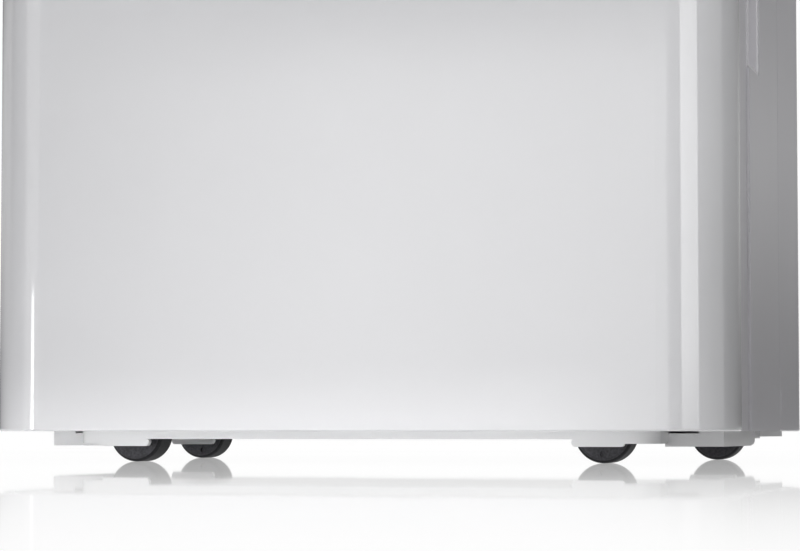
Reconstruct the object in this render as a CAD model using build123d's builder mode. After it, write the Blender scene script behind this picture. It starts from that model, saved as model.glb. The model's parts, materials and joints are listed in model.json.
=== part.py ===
"""A free-standing compressor dehumidifier on four side-rolling wheels.

Units are millimetres. X runs to the right as seen from the front, Y runs from the front to the rear and
Z runs up. The origin is on the floor, under the centre of the cabinet.
"""

import os
from build123d import *

os.makedirs("parts", exist_ok=True)


# Driving dimensions: the cabinet
cabinet_width = 380.0
cabinet_depth = 248.0
cabinet_height = 590.0
shell_bottom = 15.5
top_cover_height = 45.0
wall = 2.5
front_radius = 34.0
rear_radius = 18.0
rear_flare = 4.0
bottom_round = 1.0
top_round = 12.0
seam = 0.4
fit = 0.3
near = 0.01
first_cut = 0.586
second_cut = 0.215

# Driving dimensions: the pieces along the side, from the front
cover_depth = 36.0
band_depth = 33.0
band_recess = 1.5
rear_cover_depth = 76.0
tongue_length = 6.0
tongue_thickness = 2.0

# Driving dimensions: the hand holds in the sides
hold_bottom = 193.0
hold_height = 152.0
hold_length = 35.0
hold_depth = 24.0
hold_wall = 2.0
hold_lip_round = 0.8

# Driving dimensions: the wheels
wheel_radius = 14.5
wheel_width = 18.0
wheel_shoulder = 3.0
dimple_radius = 1.4
dimple_depth = 2.0
dimple_offset = 10.0
axle_radius = 2.0
running_clearance = 0.06
front_wheel_inset = 68.0
rear_wheel_inset = 39.0
front_wheel_setback = 52.0
rear_wheel_setback = 33.0
wheel_side_gap = 1.2
wheel_top_gap = 2.0
bracket_wall = 2.2

# Driving dimensions: the base tray
rim_lift = 0.5
rim_thickness = 3.0
pan_bottom = 11.6
pan_floor = 3.0
pan_wall = 3.0
pan_front_setback = 31.0
pan_step_setback = 64.0
pan_rear_setback = 18.0
pan_front_inset = 40.0
pan_rear_inset = 12.8
pan_tail_inset = 22.0
pan_corner = 13.0
skirt_bottom = 8.0
corner_skirt_bottom = 9.5
skirt_setback = 3.0
skirt_taper = 14.0
skirt_heel = 5.0
wing_slot_width = 15.0
wing_slot_drop = 1.2
apron_width = 24.0
apron_taper = 2.0
apron_round = 1.5
apron_standoff = 21.0
rear_lip_bottom = 12.7
rear_lip_inset = 10.0
well_wall = 2.5
shelf_top = 37.0
shelf_thickness = 3.0
shelf_margin = 3.4

# Driving dimensions: the water tank at the rear
tank_inset = 32.0
tank_depth = 87.0
tank_height = 192.0
tank_wall = 2.5
tank_corner = 2.0
tank_lid_thickness = 2.5
tank_lid_lip = 6.0
tank_side_gap = 1.0
tank_rear_inset = 0.6
grip_width = 110.0
grip_height = 32.0
grip_depth = 22.0
grip_below_rim = 12.0
gauge_width = 12.0
gauge_margin = 36.0
gauge_thickness = 1.0
gauge_inset = 43.0
inlet_radius = 20.0
inlet_x = 60.0
inlet_setback = 22.0
float_inset = 53.0
float_arm_length = 52.0
float_width = 42.0
float_length = 34.0
float_height = 24.0
float_arm_width = 8.0
float_arm_thickness = 4.0
float_pin_radius = 1.5
float_boss_radius = 3.0
float_drop = 18.0

# Driving dimensions: the air path, from the rear inwards
grille_inset = 40.0
grille_lift = 27.0
grille_drop = 21.0
grille_thickness = 3.5
grille_corner = 6.0
grille_seat = 7.0
slot_height = 6.0
slot_pitch = 11.0
slot_margin = 14.0
filter_frame_width = 4.0
filter_depth = 7.0
filter_clearance = 2.0
mesh_thickness = 0.8
coil_inset = 55.0
coil_lift = 7.0
coil_headroom = 4.0
coil_depth = 20.0
coil_gap = 6.0
evaporator_setback = 18.0
fin_pitch = 24.0
fin_gap = 4.0
fin_groove = 2.0
header_radius = 6.0
tray_height = 17.0
tray_wall = 2.0
tray_margin = 4.0
spigot_radius = 6.5
spigot_bore = 4.5
spigot_inset = 90.0
spigot_lift = 9.0
spigot_clear = 4.0
spigot_recess = 1.5
partition_lift = 13.2
partition_thickness = 3.0
partition_inset = 7.0
partition_setback = 8.0

# Driving dimensions: the fan
fan_share = 0.33
fan_length = 50.0
fan_blades = 20
fan_blade_thickness = 1.6
fan_plate = 2.0
fan_tip_gap = 8.0
scroll_growth = 9.0
scroll_wall = 2.0
scroll_gap = 4.0
scroll_depth = 76.0
inlet_inset = 18.0
shaft_radius = 4.0
motor_radius = 42.0
motor_length = 52.0
motor_boss_radius = 14.0
motor_boss_length = 4.0
duct_drop = 18.0
duct_height = 72.0
duct_wall = 2.0

# Driving dimensions: the air outlet and the controls in the top
outlet_inset = 55.0
outlet_setback = 44.0
outlet_depth = 65.0
flap_thickness = 2.5
flap_bead_radius = 2.5
flap_pin_radius = 1.5
flap_pin_length = 4.0
flap_gap = 0.6
vane_height = 11.0
vane_thickness = 2.0
vane_pitch = 16.0
outlet_rim = 4.0
fascia_inset = 66.0
fascia_setback = 20.0
fascia_depth = 48.0
fascia_thickness = 2.6
fascia_corner = 8.0
display_share = 0.26
display_depth = 26.0
button_share = 0.21
button_fill = 0.65
button_width = 10.0
button_travel = 1.2
button_clearance = 0.25
button_drop = 2.0
button_flange = 1.2
lamp_length = 6.0
lamp_width = 2.0
lamp_y_offset = 12.0
board_drop = 18.4
board_thickness = 1.6
board_post_width = 7.0
switch_size = 6.0
switch_height = 2.6

# Driving dimensions: the refrigerant circuit and electrics
compressor_radius = 55.0
compressor_headroom = 39.4
compressor_dome = 24.0
compressor_side_gap = 20.0
foot_radius = 11.0
foot_height = 12.0
foot_inset = 9.0
foot_plate_thickness = 3.0
pipe_radius = 3.5
pipe_rise = 20.0
pipe_spacing = 16.0
capillary_radius = 1.5
capacitor_radius = 19.0
capacitor_height = 76.0
capacitor_gap = 30.0
capacitor_setback = 42.0
gland_radius = 7.0
gland_bore = 4.0
gland_flange_radius = 9.0
gland_flange_thickness = 1.6
gland_inset = 90.0
gland_length = 8.0

# Places worked out from the driving dimensions: the cabinet
half_width = cabinet_width / 2
front_y = -cabinet_depth / 2
rear_y = cabinet_depth / 2
cover_y = front_y + cover_depth
band_y = cover_y + band_depth
panel_y = rear_y - rear_cover_depth
panel_depth = panel_y - band_y
shell_top = cabinet_height - top_cover_height
shell_height = shell_top - shell_bottom
rim_inset = wall + fit + tongue_thickness + seam
rim_bottom = shell_bottom + rim_lift
rim_top = rim_bottom + rim_thickness
inner_rear = rear_y - wall
top_inside = cabinet_height - wall

# Places worked out: the wheels and the base tray
front_wheel_x = half_width - front_wheel_inset
rear_wheel_x = half_width - rear_wheel_inset
front_wheel_y = front_y + front_wheel_setback
rear_wheel_y = rear_y - rear_wheel_setback
pan_front = front_y + pan_front_setback
pan_step = front_y + pan_step_setback
pan_rear = rear_y - pan_rear_setback
pan_front_half = half_width - pan_front_inset
pan_rear_half = half_width - pan_rear_inset
pan_tail_half = half_width - pan_tail_inset
skirt_rear = panel_y - skirt_setback
skirt_height = pan_bottom - skirt_bottom
well_half_x = wheel_radius + wheel_side_gap + bracket_wall
well_half_y = wheel_width / 2 + wheel_side_gap + bracket_wall
well_ceiling = 2 * wheel_radius + wheel_top_gap + bracket_wall

# Places worked out: the tank, and the partition over it
tank_width = cabinet_width - 2 * tank_inset
tank_bottom = shelf_top + fit
tank_top = tank_bottom + tank_height
tank_rear = rear_y - tank_rear_inset
tank_front = tank_rear - tank_depth
tank_middle = (tank_front + tank_rear) / 2
shelf_front = tank_front - shelf_margin
gauge_height = tank_height - 2 * gauge_margin
gauge_x = tank_width / 2 - gauge_inset
float_x = float_inset - tank_width / 2
partition_top = tank_top + tank_lid_thickness + partition_lift
partition_bottom = partition_top - partition_thickness
partition_half = half_width - partition_inset
partition_front = cover_y + partition_setback

# Places worked out: the air path and the fan
duct_top = cabinet_height - duct_drop
duct_bottom = duct_top - duct_height
grille_width = cabinet_width - 2 * grille_inset
grille_bottom = partition_top + grille_lift
grille_height = shell_top - grille_drop - grille_bottom
coil_width = cabinet_width - 2 * coil_inset
coil_bottom = partition_top + coil_lift
coil_height = duct_bottom - coil_headroom - coil_bottom
evaporator_rear = rear_y - evaporator_setback
condenser_rear = evaporator_rear - coil_depth - coil_gap
inlet_y = evaporator_rear - inlet_setback
spigot_x = half_width - spigot_inset
spigot_z = partition_top + spigot_lift
gland_x = gland_inset - half_width
fan_radius = fan_share * (duct_bottom - partition_top)
fan_z = (partition_top + duct_bottom + scroll_growth) / 2
inlet_radius_of_fan = fan_radius - inlet_inset
scroll_rear = condenser_rear - coil_depth - scroll_gap
scroll_front = scroll_rear - scroll_depth

# Places worked out: the outlet and the controls
outlet_half_width = half_width - outlet_inset
outlet_rear = rear_y - outlet_setback
outlet_front = outlet_rear - outlet_depth
fascia_half_width = half_width - fascia_inset
fascia_front = front_y + fascia_setback
fascia_rear = fascia_front + fascia_depth
display_half_width = display_share * fascia_half_width
button_pitch = button_share * fascia_half_width
button_first_x = 2 * button_pitch
button_length = button_fill * button_pitch
board_top = cabinet_height - board_drop

# Places worked out: the compressor and the run capacitor
compressor_x = compressor_radius + compressor_side_gap + well_half_x + well_wall - front_wheel_x
foot_reach = compressor_radius - foot_inset
compressor_y = (pan_front + pan_wall + shelf_front - foot_reach / 2) / 2
capacitor_x = compressor_x + compressor_radius + capacitor_gap + capacitor_radius
capacitor_y = front_wheel_y + capacitor_setback

# The wheels by name: how far each has rolled, and where it stands
wheel_turns = {"front_left": 150.0, "front_right": 1.0, "rear_left": -9.0, "rear_right": -130.0}
wheel_places = {
    "front_left": (-front_wheel_x, front_wheel_y),
    "front_right": (front_wheel_x, front_wheel_y),
    "rear_left": (-rear_wheel_x, rear_wheel_y),
    "rear_right": (rear_wheel_x, rear_wheel_y),
}


def save(piece, name):
    """Labels a finished piece and writes it under that name."""
    piece.label = name
    export_step(piece, f"parts/{name}.step")


def y_plane(y):
    """The upright plane at that depth as seen from behind, so its x runs to the left of the cabinet."""
    return Plane(origin=(0, y, 0), x_dir=(-1, 0, 0), z_dir=(0, 1, 0))


def cabinet_plan(inset):
    """The cabinet's outline seen from above, drawn that far inside its outer faces."""
    side = half_width - inset
    with BuildSketch() as plan:
        with BuildLine():
            Polyline(
                (-side, front_y + inset),
                (side, front_y + inset),
                (side, panel_y),
                (side + rear_flare, rear_y - inset),
                (-side - rear_flare, rear_y - inset),
                (-side, panel_y),
                close=True,
            )
        make_face()
        fillet(plan.vertices().group_by(Axis.Y)[0], front_radius - inset)
        fillet(plan.vertices().group_by(Axis.Y)[-1], rear_radius - inset)
    return plan.sketch


def upright_box(x_span, y_span, z_span):
    """A rectangle in plan, extruded up between two heights."""
    with BuildPart() as box:
        with BuildSketch(Plane.XY.offset(z_span[0])):
            with Locations(((x_span[0] + x_span[1]) / 2, (y_span[0] + y_span[1]) / 2)):
                Rectangle(x_span[1] - x_span[0], y_span[1] - y_span[0])
        extrude(amount=z_span[1] - z_span[0])
    return box.part


def shell_ring(low, high):
    """The cabinet's wall between two heights, with its lower outer edge rounded."""
    outline = cabinet_plan(0).moved(Location((0, 0, low))).wire()
    with BuildPart() as ring:
        with BuildSketch(Plane.XY.offset(low)):
            add(cabinet_plan(0))
            add(cabinet_plan(wall), mode=Mode.SUBTRACT)
        extrude(amount=high - low)
        bottom_edges = ring.edges().group_by(Axis.Z)[0]
        outer = [edge for edge in bottom_edges if outline.distance_to(edge @ 0.5) < near]
        fillet(outer, bottom_round)
    return ring.part


# Front cover: the glossy front with its two rounded corners
with BuildPart() as front_cover:
    add(shell_ring(shell_bottom, shell_top))
    split(bisect_by=y_plane(cover_y), keep=Keep.BOTTOM)
save(front_cover.part, "front_cover")


# Centre frame: the recessed band behind the front cover, with a tongue that locates the cover
band_half = half_width - band_recess
tongue_outer = half_width - wall - fit
foot_tab = 20.0
with BuildPart() as centre_frame:
    with BuildSketch(y_plane(cover_y + seam)):
        with Locations((0, (shell_bottom + shell_top) / 2)):
            Rectangle(2 * band_half, shell_height)
        with Locations((0, (shell_bottom + shell_top - wall) / 2)):
            Rectangle(2 * (band_half - wall), shell_height - wall, mode=Mode.SUBTRACT)
    extrude(amount=band_depth - 2 * seam)
    with BuildSketch(y_plane(cover_y - tongue_length)):
        with Locations((0, (shell_bottom + shell_top) / 2)):
            Rectangle(2 * tongue_outer, shell_height - 2 * wall)
            Rectangle(2 * (tongue_outer - tongue_thickness), shell_height, mode=Mode.SUBTRACT)
    extrude(amount=2 * tongue_length)
    with BuildSketch(y_plane(cover_y + seam)):
        for side in (-1, 1):
            with Locations((side * (band_half - foot_tab / 2), rim_top + fit + wall / 2)):
                Rectangle(foot_tab, wall)
    extrude(amount=band_depth - 2 * seam)
save(centre_frame.part, "centre_frame")


# Side panels: the flat sides, notched for the hand holds, with a tongue into the rear cover
hold_rear = band_y + hold_length
rail_depth = 5.0
rail_height = 6.0
with BuildPart() as right_side_panel:
    with BuildSketch(Plane.YZ.offset(half_width - wall)):
        with Locations((band_y + panel_depth / 2, (shell_bottom + shell_top) / 2)):
            Rectangle(panel_depth - seam, shell_height)
        with Locations((band_y + hold_length / 2, hold_bottom + hold_height / 2)):
            Rectangle(hold_length, hold_height, mode=Mode.SUBTRACT)
    extrude(amount=wall)
    add(
        upright_box(
            (tongue_outer - tongue_thickness, half_width - wall),
            (panel_y - 2 * tongue_length, panel_y - seam),
            (rim_top + wall, shell_top - wall),
        )
    )
    add(
        upright_box(
            (tongue_outer - tongue_thickness, tongue_outer),
            (panel_y - 2 * tongue_length, panel_y + tongue_length),
            (rim_top + wall, shell_top - wall),
        )
    )
    with BuildSketch(Plane.XZ.offset(-hold_rear - hold_wall)):
        with Locations((half_width - wall - rail_depth / 2, partition_bottom - rail_height / 2)):
            Rectangle(rail_depth, rail_height)
    extrude(amount=hold_rear + hold_wall - panel_y + 2 * tongue_length)
with BuildPart() as left_side_panel:
    mirror(right_side_panel.part, about=Plane.YZ)
save(right_side_panel.part, "right_side_panel")
save(left_side_panel.part, "left_side_panel")


# Hand holds: cups set in the notches of the side panels
with BuildPart() as right_hand_hold:
    with BuildSketch(Plane.YZ.offset(half_width - seam)):
        with Locations((band_y + hold_length / 2, hold_bottom + hold_height / 2)):
            Rectangle(hold_length - 2 * fit, hold_height - 2 * fit)
    extrude(amount=-hold_depth)
    mouth = right_hand_hold.faces().sort_by(Axis.X)[-1]
    offset(amount=-hold_wall, openings=mouth)
    lip_edges = right_hand_hold.faces().sort_by(Axis.X)[-1].inner_wires()[0].edges()
    fillet(lip_edges, hold_lip_round)
with BuildPart() as left_hand_hold:
    mirror(right_hand_hold.part, about=Plane.YZ)
save(right_hand_hold.part, "right_hand_hold")
save(left_hand_hold.part, "left_hand_hold")


# Rear cover: the flared back, open for the tank below and for the intake grille above
grille_z = grille_bottom + grille_height / 2
tank_opening_top = tank_top + tank_lid_thickness + 2 * tank_side_gap
with BuildPart() as rear_cover:
    add(shell_ring(shell_bottom, shell_top))
    split(bisect_by=y_plane(panel_y + seam), keep=Keep.TOP)
    with BuildSketch(y_plane(inner_rear)):
        with Locations((0, grille_z)):
            Rectangle(grille_width + 2 * wall, grille_height + 2 * wall)
    extrude(amount=-wall)
    with BuildSketch(y_plane(rear_y - grille_thickness - seam)):
        with Locations((0, grille_z)):
            RectangleRounded(grille_width, grille_height, grille_corner)
    extrude(amount=cabinet_depth, mode=Mode.SUBTRACT)
    with BuildSketch(y_plane(rear_y)):
        with Locations((0, grille_z)):
            Rectangle(grille_width - 2 * grille_seat, grille_height - 2 * grille_seat)
        with Locations((0, (shelf_top - seam + tank_opening_top) / 2)):
            Rectangle(tank_width + 2 * tank_side_gap, tank_opening_top - shelf_top + seam)
        with Locations((-spigot_x, spigot_z)):
            Circle(spigot_radius + spigot_clear)
        with Locations((-gland_x, spigot_z)):
            Circle(gland_radius + fit)
    extrude(amount=-cabinet_depth / 4, mode=Mode.SUBTRACT)
save(rear_cover.part, "rear_cover")


# Base tray: a rim under the shells, a winged pan, skirts and aprons, a tank shelf and four wheel wells
def pan_plan(inset):
    """The pan from above: a narrow front, two wings and a tail, drawn that far inside its outer faces."""
    front_half = pan_front_half - inset
    rear_half = pan_rear_half - inset
    tail_half = pan_tail_half - inset
    with BuildSketch() as plan:
        with BuildLine():
            Polyline(
                (-front_half, pan_front + inset),
                (front_half, pan_front + inset),
                (front_half, pan_step + inset),
                (rear_half, pan_step + inset),
                (rear_half, skirt_rear - inset),
                (tail_half, skirt_rear - inset),
                (tail_half, pan_rear - inset),
                (-tail_half, pan_rear - inset),
                (-tail_half, skirt_rear - inset),
                (-rear_half, skirt_rear - inset),
                (-rear_half, pan_step + inset),
                (-front_half, pan_step + inset),
                close=True,
            )
        make_face()
        fillet(plan.vertices().group_by(Axis.Y)[0], pan_corner - inset)
    return plan.sketch


shelf_half = tank_width / 2 + well_wall
with BuildPart() as base_tray:
    with BuildSketch(Plane.XY.offset(rim_bottom)):
        add(cabinet_plan(rim_inset))
    extrude(amount=rim_thickness)
    with BuildSketch(Plane.XY.offset(pan_bottom)):
        add(pan_plan(0))
    extrude(amount=rim_top - pan_bottom)
    with BuildSketch(Plane.XY.offset(pan_bottom + pan_floor)):
        add(pan_plan(pan_wall))
    extrude(amount=rim_top, mode=Mode.SUBTRACT)
    # the corner skirts, beside the front aprons
    with BuildSketch(Plane.XY.offset(corner_skirt_bottom)):
        add(pan_plan(0))
        add(pan_plan(pan_wall), mode=Mode.SUBTRACT)
        Rectangle(2 * front_wheel_x + apron_width, cabinet_depth, mode=Mode.SUBTRACT)
        with Locations((0, pan_step + cabinet_depth / 2)):
            Rectangle(cabinet_width, cabinet_depth, mode=Mode.SUBTRACT)
    extrude(amount=pan_bottom - corner_skirt_bottom)
    # the deeper skirts round the wings, rounded up at their rear ends
    with BuildSketch(Plane.XY.offset(skirt_bottom)):
        add(pan_plan(0))
        add(pan_plan(pan_wall), mode=Mode.SUBTRACT)
        Rectangle(2 * pan_front_half - pan_wall, 2 * cabinet_depth, mode=Mode.SUBTRACT)
        with Locations((0, pan_step - cabinet_depth / 2)):
            Rectangle(cabinet_width, cabinet_depth, mode=Mode.SUBTRACT)
        with Locations((0, skirt_rear + cabinet_depth / 2)):
            Rectangle(cabinet_width, cabinet_depth, mode=Mode.SUBTRACT)
    extrude(amount=skirt_height)
    with BuildSketch(Plane.YZ):
        with BuildLine():
            Polyline(
                (skirt_rear - skirt_taper, skirt_bottom),
                (skirt_rear - skirt_heel, skirt_bottom + skirt_height * second_cut),
                (skirt_rear, skirt_bottom + skirt_height * first_cut),
                (skirt_rear, skirt_bottom),
                close=True,
            )
        make_face()
    extrude(amount=half_width, both=True, mode=Mode.SUBTRACT)
    # a slot along the top of each wing
    with BuildSketch(Plane.XY.offset(shell_bottom - wing_slot_drop)):
        for side in (-1, 1):
            with Locations((side * (pan_front_half + wing_slot_width / 2), pan_step + pan_wall / 2)):
                Rectangle(wing_slot_width, pan_wall)
    extrude(amount=rim_lift + wing_slot_drop, mode=Mode.SUBTRACT)
    # an apron in front of each wheel, tapered at its ends
    for wheel_x, wheel_y in wheel_places.values():
        with BuildSketch(y_plane(wheel_y - apron_standoff)) as apron:
            with BuildLine():
                Polyline(
                    (-wheel_x - apron_width / 2, skirt_bottom),
                    (-wheel_x + apron_width / 2, skirt_bottom),
                    (-wheel_x + apron_width / 2 + apron_taper, pan_bottom),
                    (-wheel_x - apron_width / 2 - apron_taper, pan_bottom),
                    close=True,
                )
            make_face()
            fillet(apron.vertices().group_by(Axis.Z)[0], apron_round)
        extrude(amount=pan_wall)
    # the thin lip behind the skirts
    with BuildSketch(Plane.XY.offset(rear_lip_bottom)):
        add(cabinet_plan(rear_lip_inset))
        with Locations((0, skirt_rear - cabinet_depth / 2)):
            Rectangle(2 * cabinet_width, cabinet_depth, mode=Mode.SUBTRACT)
        with Locations((0, pan_rear + cabinet_depth / 2)):
            Rectangle(2 * cabinet_width, cabinet_depth, mode=Mode.SUBTRACT)
        add(pan_plan(pan_wall), mode=Mode.SUBTRACT)
    extrude(amount=rim_bottom - rear_lip_bottom)
    # the tank shelf, open towards the compressor
    shelf_rear = inner_rear - seam
    with BuildSketch(Plane.XY.offset(rim_top)):
        with Locations((0, (shelf_front + shelf_rear) / 2)):
            Rectangle(2 * shelf_half, shelf_rear - shelf_front)
    extrude(amount=shelf_top - rim_top)
    with BuildSketch(Plane.XY.offset(pan_bottom + pan_floor)):
        with Locations((0, (shelf_front + pan_rear - pan_wall) / 2)):
            Rectangle(2 * (shelf_half - well_wall), pan_rear - pan_wall - shelf_front)
    extrude(amount=shelf_top - shelf_thickness - pan_bottom - pan_floor, mode=Mode.SUBTRACT)
    # the wheel wells
    with BuildSketch(Plane.XY.offset(pan_bottom)):
        with Locations(*wheel_places.values()):
            Rectangle(2 * (well_half_x + well_wall), 2 * (well_half_y + well_wall))
    extrude(amount=well_ceiling + well_wall - pan_bottom)
    with BuildSketch(Plane.XY.offset(pan_bottom)):
        with Locations(*wheel_places.values()):
            Rectangle(2 * well_half_x, 2 * well_half_y)
    extrude(amount=well_ceiling - pan_bottom, mode=Mode.SUBTRACT)
save(base_tray.part, "base_tray")


# Wheel brackets: black cups pressed into the wells, bored for the axles
with BuildPart() as wheel_bracket:
    with BuildSketch(Plane.XY.offset(pan_bottom)):
        Rectangle(2 * (well_half_x - fit), 2 * (well_half_y - fit))
    extrude(amount=well_ceiling - pan_bottom)
    with BuildSketch(Plane.XY):
        Rectangle(2 * (well_half_x - bracket_wall), 2 * (well_half_y - bracket_wall))
    extrude(amount=well_ceiling - bracket_wall, mode=Mode.SUBTRACT)
    with BuildSketch(Plane.XZ.offset(-well_half_y)):
        with Locations((0, wheel_radius)):
            Circle(axle_radius)
    extrude(amount=2 * well_half_y, mode=Mode.SUBTRACT)
with BuildPart() as wheel_brackets:
    with Locations(*wheel_places.values()):
        add(wheel_bracket.part)
save(wheel_brackets.part, "wheel_brackets")


# Wheel axles: steel pins held in the brackets
with BuildPart() as wheel_axles:
    for wheel_x, wheel_y in wheel_places.values():
        with BuildSketch(y_plane(wheel_y - well_half_y + fit)):
            with Locations((-wheel_x, wheel_radius)):
                Circle(axle_radius)
        extrude(amount=2 * (well_half_y - fit))
save(wheel_axles.part, "wheel_axles")


# Wheels: round-shouldered rollers with a dimple in the front face
with BuildPart() as wheel:
    bore = axle_radius + running_clearance
    with BuildSketch() as section:
        with Locations(((bore + wheel_radius) / 2, 0)):
            Rectangle(wheel_radius - bore, wheel_width)
        chamfer(section.vertices().group_by(Axis.X)[-1], first_cut * wheel_shoulder)
        shoulder_corners = section.vertices().filter_by_position(Axis.X, wheel_radius / 2, wheel_radius)
        chamfer(shoulder_corners, second_cut * wheel_shoulder)
    revolve(axis=Axis.Y)
    with BuildSketch(y_plane(-wheel_width / 2)):
        with Locations((0, -dimple_offset)):
            Circle(dimple_radius)
    extrude(amount=dimple_depth, mode=Mode.SUBTRACT)
for corner, (wheel_x, wheel_y) in wheel_places.items():
    place = Location((wheel_x, wheel_y, wheel_radius), (0, wheel_turns[corner], 0))
    save(wheel.part.moved(place), f"wheel_{corner}")


# Water tank: an open bucket with a window in its rear wall for the handle and a seat for the gauge
grip_z = tank_top - grip_below_rim - grip_height / 2
gauge_z = tank_bottom + tank_height / 2
handle_width = grip_width + 2 * tank_wall
handle_height = grip_height + 2 * tank_wall
with BuildPart() as water_tank:
    with BuildSketch(Plane.XY.offset(tank_bottom)):
        with Locations((0, tank_middle)):
            RectangleRounded(tank_width, tank_depth, tank_corner)
    extrude(amount=tank_height)
    with BuildSketch(Plane.XY.offset(tank_bottom + tank_wall)):
        with Locations((0, tank_middle)):
            Rectangle(tank_width - 2 * tank_wall, tank_depth - 2 * tank_wall)
    extrude(amount=tank_height, mode=Mode.SUBTRACT)
    with BuildSketch(y_plane(tank_rear)):
        with Locations((0, grip_z)):
            Rectangle(handle_width + 2 * fit, handle_height + 2 * fit)
    extrude(amount=-2 * tank_wall, mode=Mode.SUBTRACT)
    with BuildSketch(y_plane(tank_rear)):
        with Locations((-gauge_x, gauge_z)):
            SlotOverall(gauge_height, gauge_width, rotation=90)
    extrude(amount=-gauge_thickness, mode=Mode.SUBTRACT)
save(water_tank.part, "water_tank")


# Tank handle: a finger cup set in the window of the tank
with BuildPart() as tank_handle:
    with BuildSketch(y_plane(tank_rear)):
        with Locations((0, grip_z)):
            Rectangle(handle_width, handle_height)
    extrude(amount=-grip_depth - tank_wall)
    mouth = tank_handle.faces().sort_by(Axis.Y)[-1]
    offset(amount=-tank_wall, openings=mouth)
    lip_edges = tank_handle.faces().sort_by(Axis.Y)[-1].inner_wires()[0].edges()
    fillet(lip_edges, hold_lip_round)
save(tank_handle.part, "tank_handle")


# Level gauge: a clear strip set flush in the rear wall of the tank
with BuildPart() as level_gauge:
    with BuildSketch(y_plane(tank_rear - gauge_thickness)):
        with Locations((-gauge_x, gauge_z)):
            SlotOverall(gauge_height - fit, gauge_width - fit, rotation=90)
    extrude(amount=gauge_thickness)
save(level_gauge.part, "level_gauge")


# Tank lid: a cover with a lip inside the bucket, an inlet hole and two lugs that carry the float
lug_thickness = 3.0
lug_drop = 26.0
lug_width = 10.0
float_pivot_y = tank_front + tank_wall + lug_width
float_pivot_z = tank_top - lug_drop + lug_width / 2
lug_gap = float_arm_width + 2 * fit
with BuildPart() as tank_lid:
    with BuildSketch(Plane.XY.offset(tank_top)):
        with Locations((0, tank_middle)):
            RectangleRounded(tank_width, tank_depth, tank_corner)
    extrude(amount=tank_lid_thickness)
    inner_width = tank_width - 2 * tank_wall - 2 * fit
    inner_depth = tank_depth - 2 * tank_wall - 2 * fit
    with BuildSketch(Plane.XY.offset(tank_top)):
        with Locations((0, tank_middle)):
            Rectangle(inner_width, inner_depth)
            Rectangle(inner_width - 2 * tank_wall, inner_depth - 2 * tank_wall, mode=Mode.SUBTRACT)
    extrude(amount=-tank_lid_lip)
    with BuildSketch(Plane.XY.offset(tank_top)):
        with Locations((inlet_x, inlet_y)):
            Circle(inlet_radius)
    extrude(amount=tank_height, both=True, mode=Mode.SUBTRACT)
    for side in (-1, 1):
        lug_x = float_x + side * (lug_gap + lug_thickness) / 2
        with BuildSketch(Plane.YZ.offset(lug_x - lug_thickness / 2)):
            with Locations((float_pivot_y, tank_top - lug_drop / 2)):
                Rectangle(lug_width, lug_drop)
            with Locations((float_pivot_y, float_pivot_z)):
                Circle(float_pin_radius + running_clearance, mode=Mode.SUBTRACT)
        extrude(amount=lug_thickness)
save(tank_lid.part, "tank_lid")


# Tank float: a foam block on an arm that turns on a pin between the lugs
with BuildPart() as tank_float:
    float_start = float_pivot_y + float_arm_length - float_length
    with BuildSketch(Plane.YZ.offset(float_x - float_arm_width / 2)):
        with BuildLine():
            Polyline(
                (float_pivot_y, float_pivot_z + float_arm_thickness / 2),
                (float_start, float_pivot_z + float_arm_thickness / 2 - float_drop),
                (float_start + float_length, float_pivot_z + float_arm_thickness / 2 - float_drop),
                (float_start + float_length, float_pivot_z - float_arm_thickness / 2 - float_drop),
                (float_start, float_pivot_z - float_arm_thickness / 2 - float_drop),
                (float_pivot_y, float_pivot_z - float_arm_thickness / 2),
                close=True,
            )
        make_face()
        with Locations((float_pivot_y, float_pivot_z)):
            Circle(float_boss_radius)
    extrude(amount=float_arm_width)
    float_top = float_pivot_z - float_arm_thickness / 2 - float_drop
    with BuildSketch(Plane.XY.offset(float_top)):
        with Locations((float_x, float_start + float_length / 2)):
            Rectangle(float_width, float_length)
    extrude(amount=-float_height)
    with BuildSketch(Plane.YZ.offset(float_x)):
        with Locations((float_pivot_y, float_pivot_z)):
            Circle(float_pin_radius)
    extrude(amount=lug_gap / 2 + lug_thickness, both=True)
save(tank_float.part, "tank_float")


# Intake grille: the slotted panel in the rear cover
slot_length = (grille_width - 3 * slot_margin) / 2
slot_rows = int((grille_height - 2 * slot_margin) // slot_pitch)
grille_back = rear_y - grille_thickness
with BuildPart() as intake_grille:
    with BuildSketch(y_plane(grille_back)):
        with Locations((0, grille_z)):
            RectangleRounded(grille_width - 2 * seam, grille_height - 2 * seam, grille_corner)
            with GridLocations(slot_length + slot_margin, slot_pitch, 2, slot_rows):
                Rectangle(slot_length, slot_height, mode=Mode.SUBTRACT)
    extrude(amount=grille_thickness - seam)
save(intake_grille.part, "intake_grille")


# Filter: a frame with cross ribs behind the grille, and the net stretched in it
filter_width = grille_width - 2 * grille_seat - 2 * filter_clearance
filter_height = grille_height - 2 * grille_seat - 2 * filter_clearance
with BuildPart() as filter_frame:
    with BuildSketch(y_plane(grille_back)):
        with Locations((0, grille_z)):
            Rectangle(filter_width, filter_height)
            with GridLocations(
                (filter_width - filter_frame_width) / 3, (filter_height - filter_frame_width) / 2, 3, 2
            ):
                Rectangle(
                    (filter_width - filter_frame_width) / 3 - filter_frame_width,
                    (filter_height - filter_frame_width) / 2 - filter_frame_width,
                    mode=Mode.SUBTRACT,
                )
    extrude(amount=-filter_depth + mesh_thickness)
save(filter_frame.part, "filter_frame")
with BuildPart() as filter_net:
    with BuildSketch(y_plane(grille_back - filter_depth + mesh_thickness)):
        with Locations((0, grille_z)):
            Rectangle(filter_width, filter_height)
    extrude(amount=-mesh_thickness)
save(filter_net.part, "filter_net")


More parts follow.
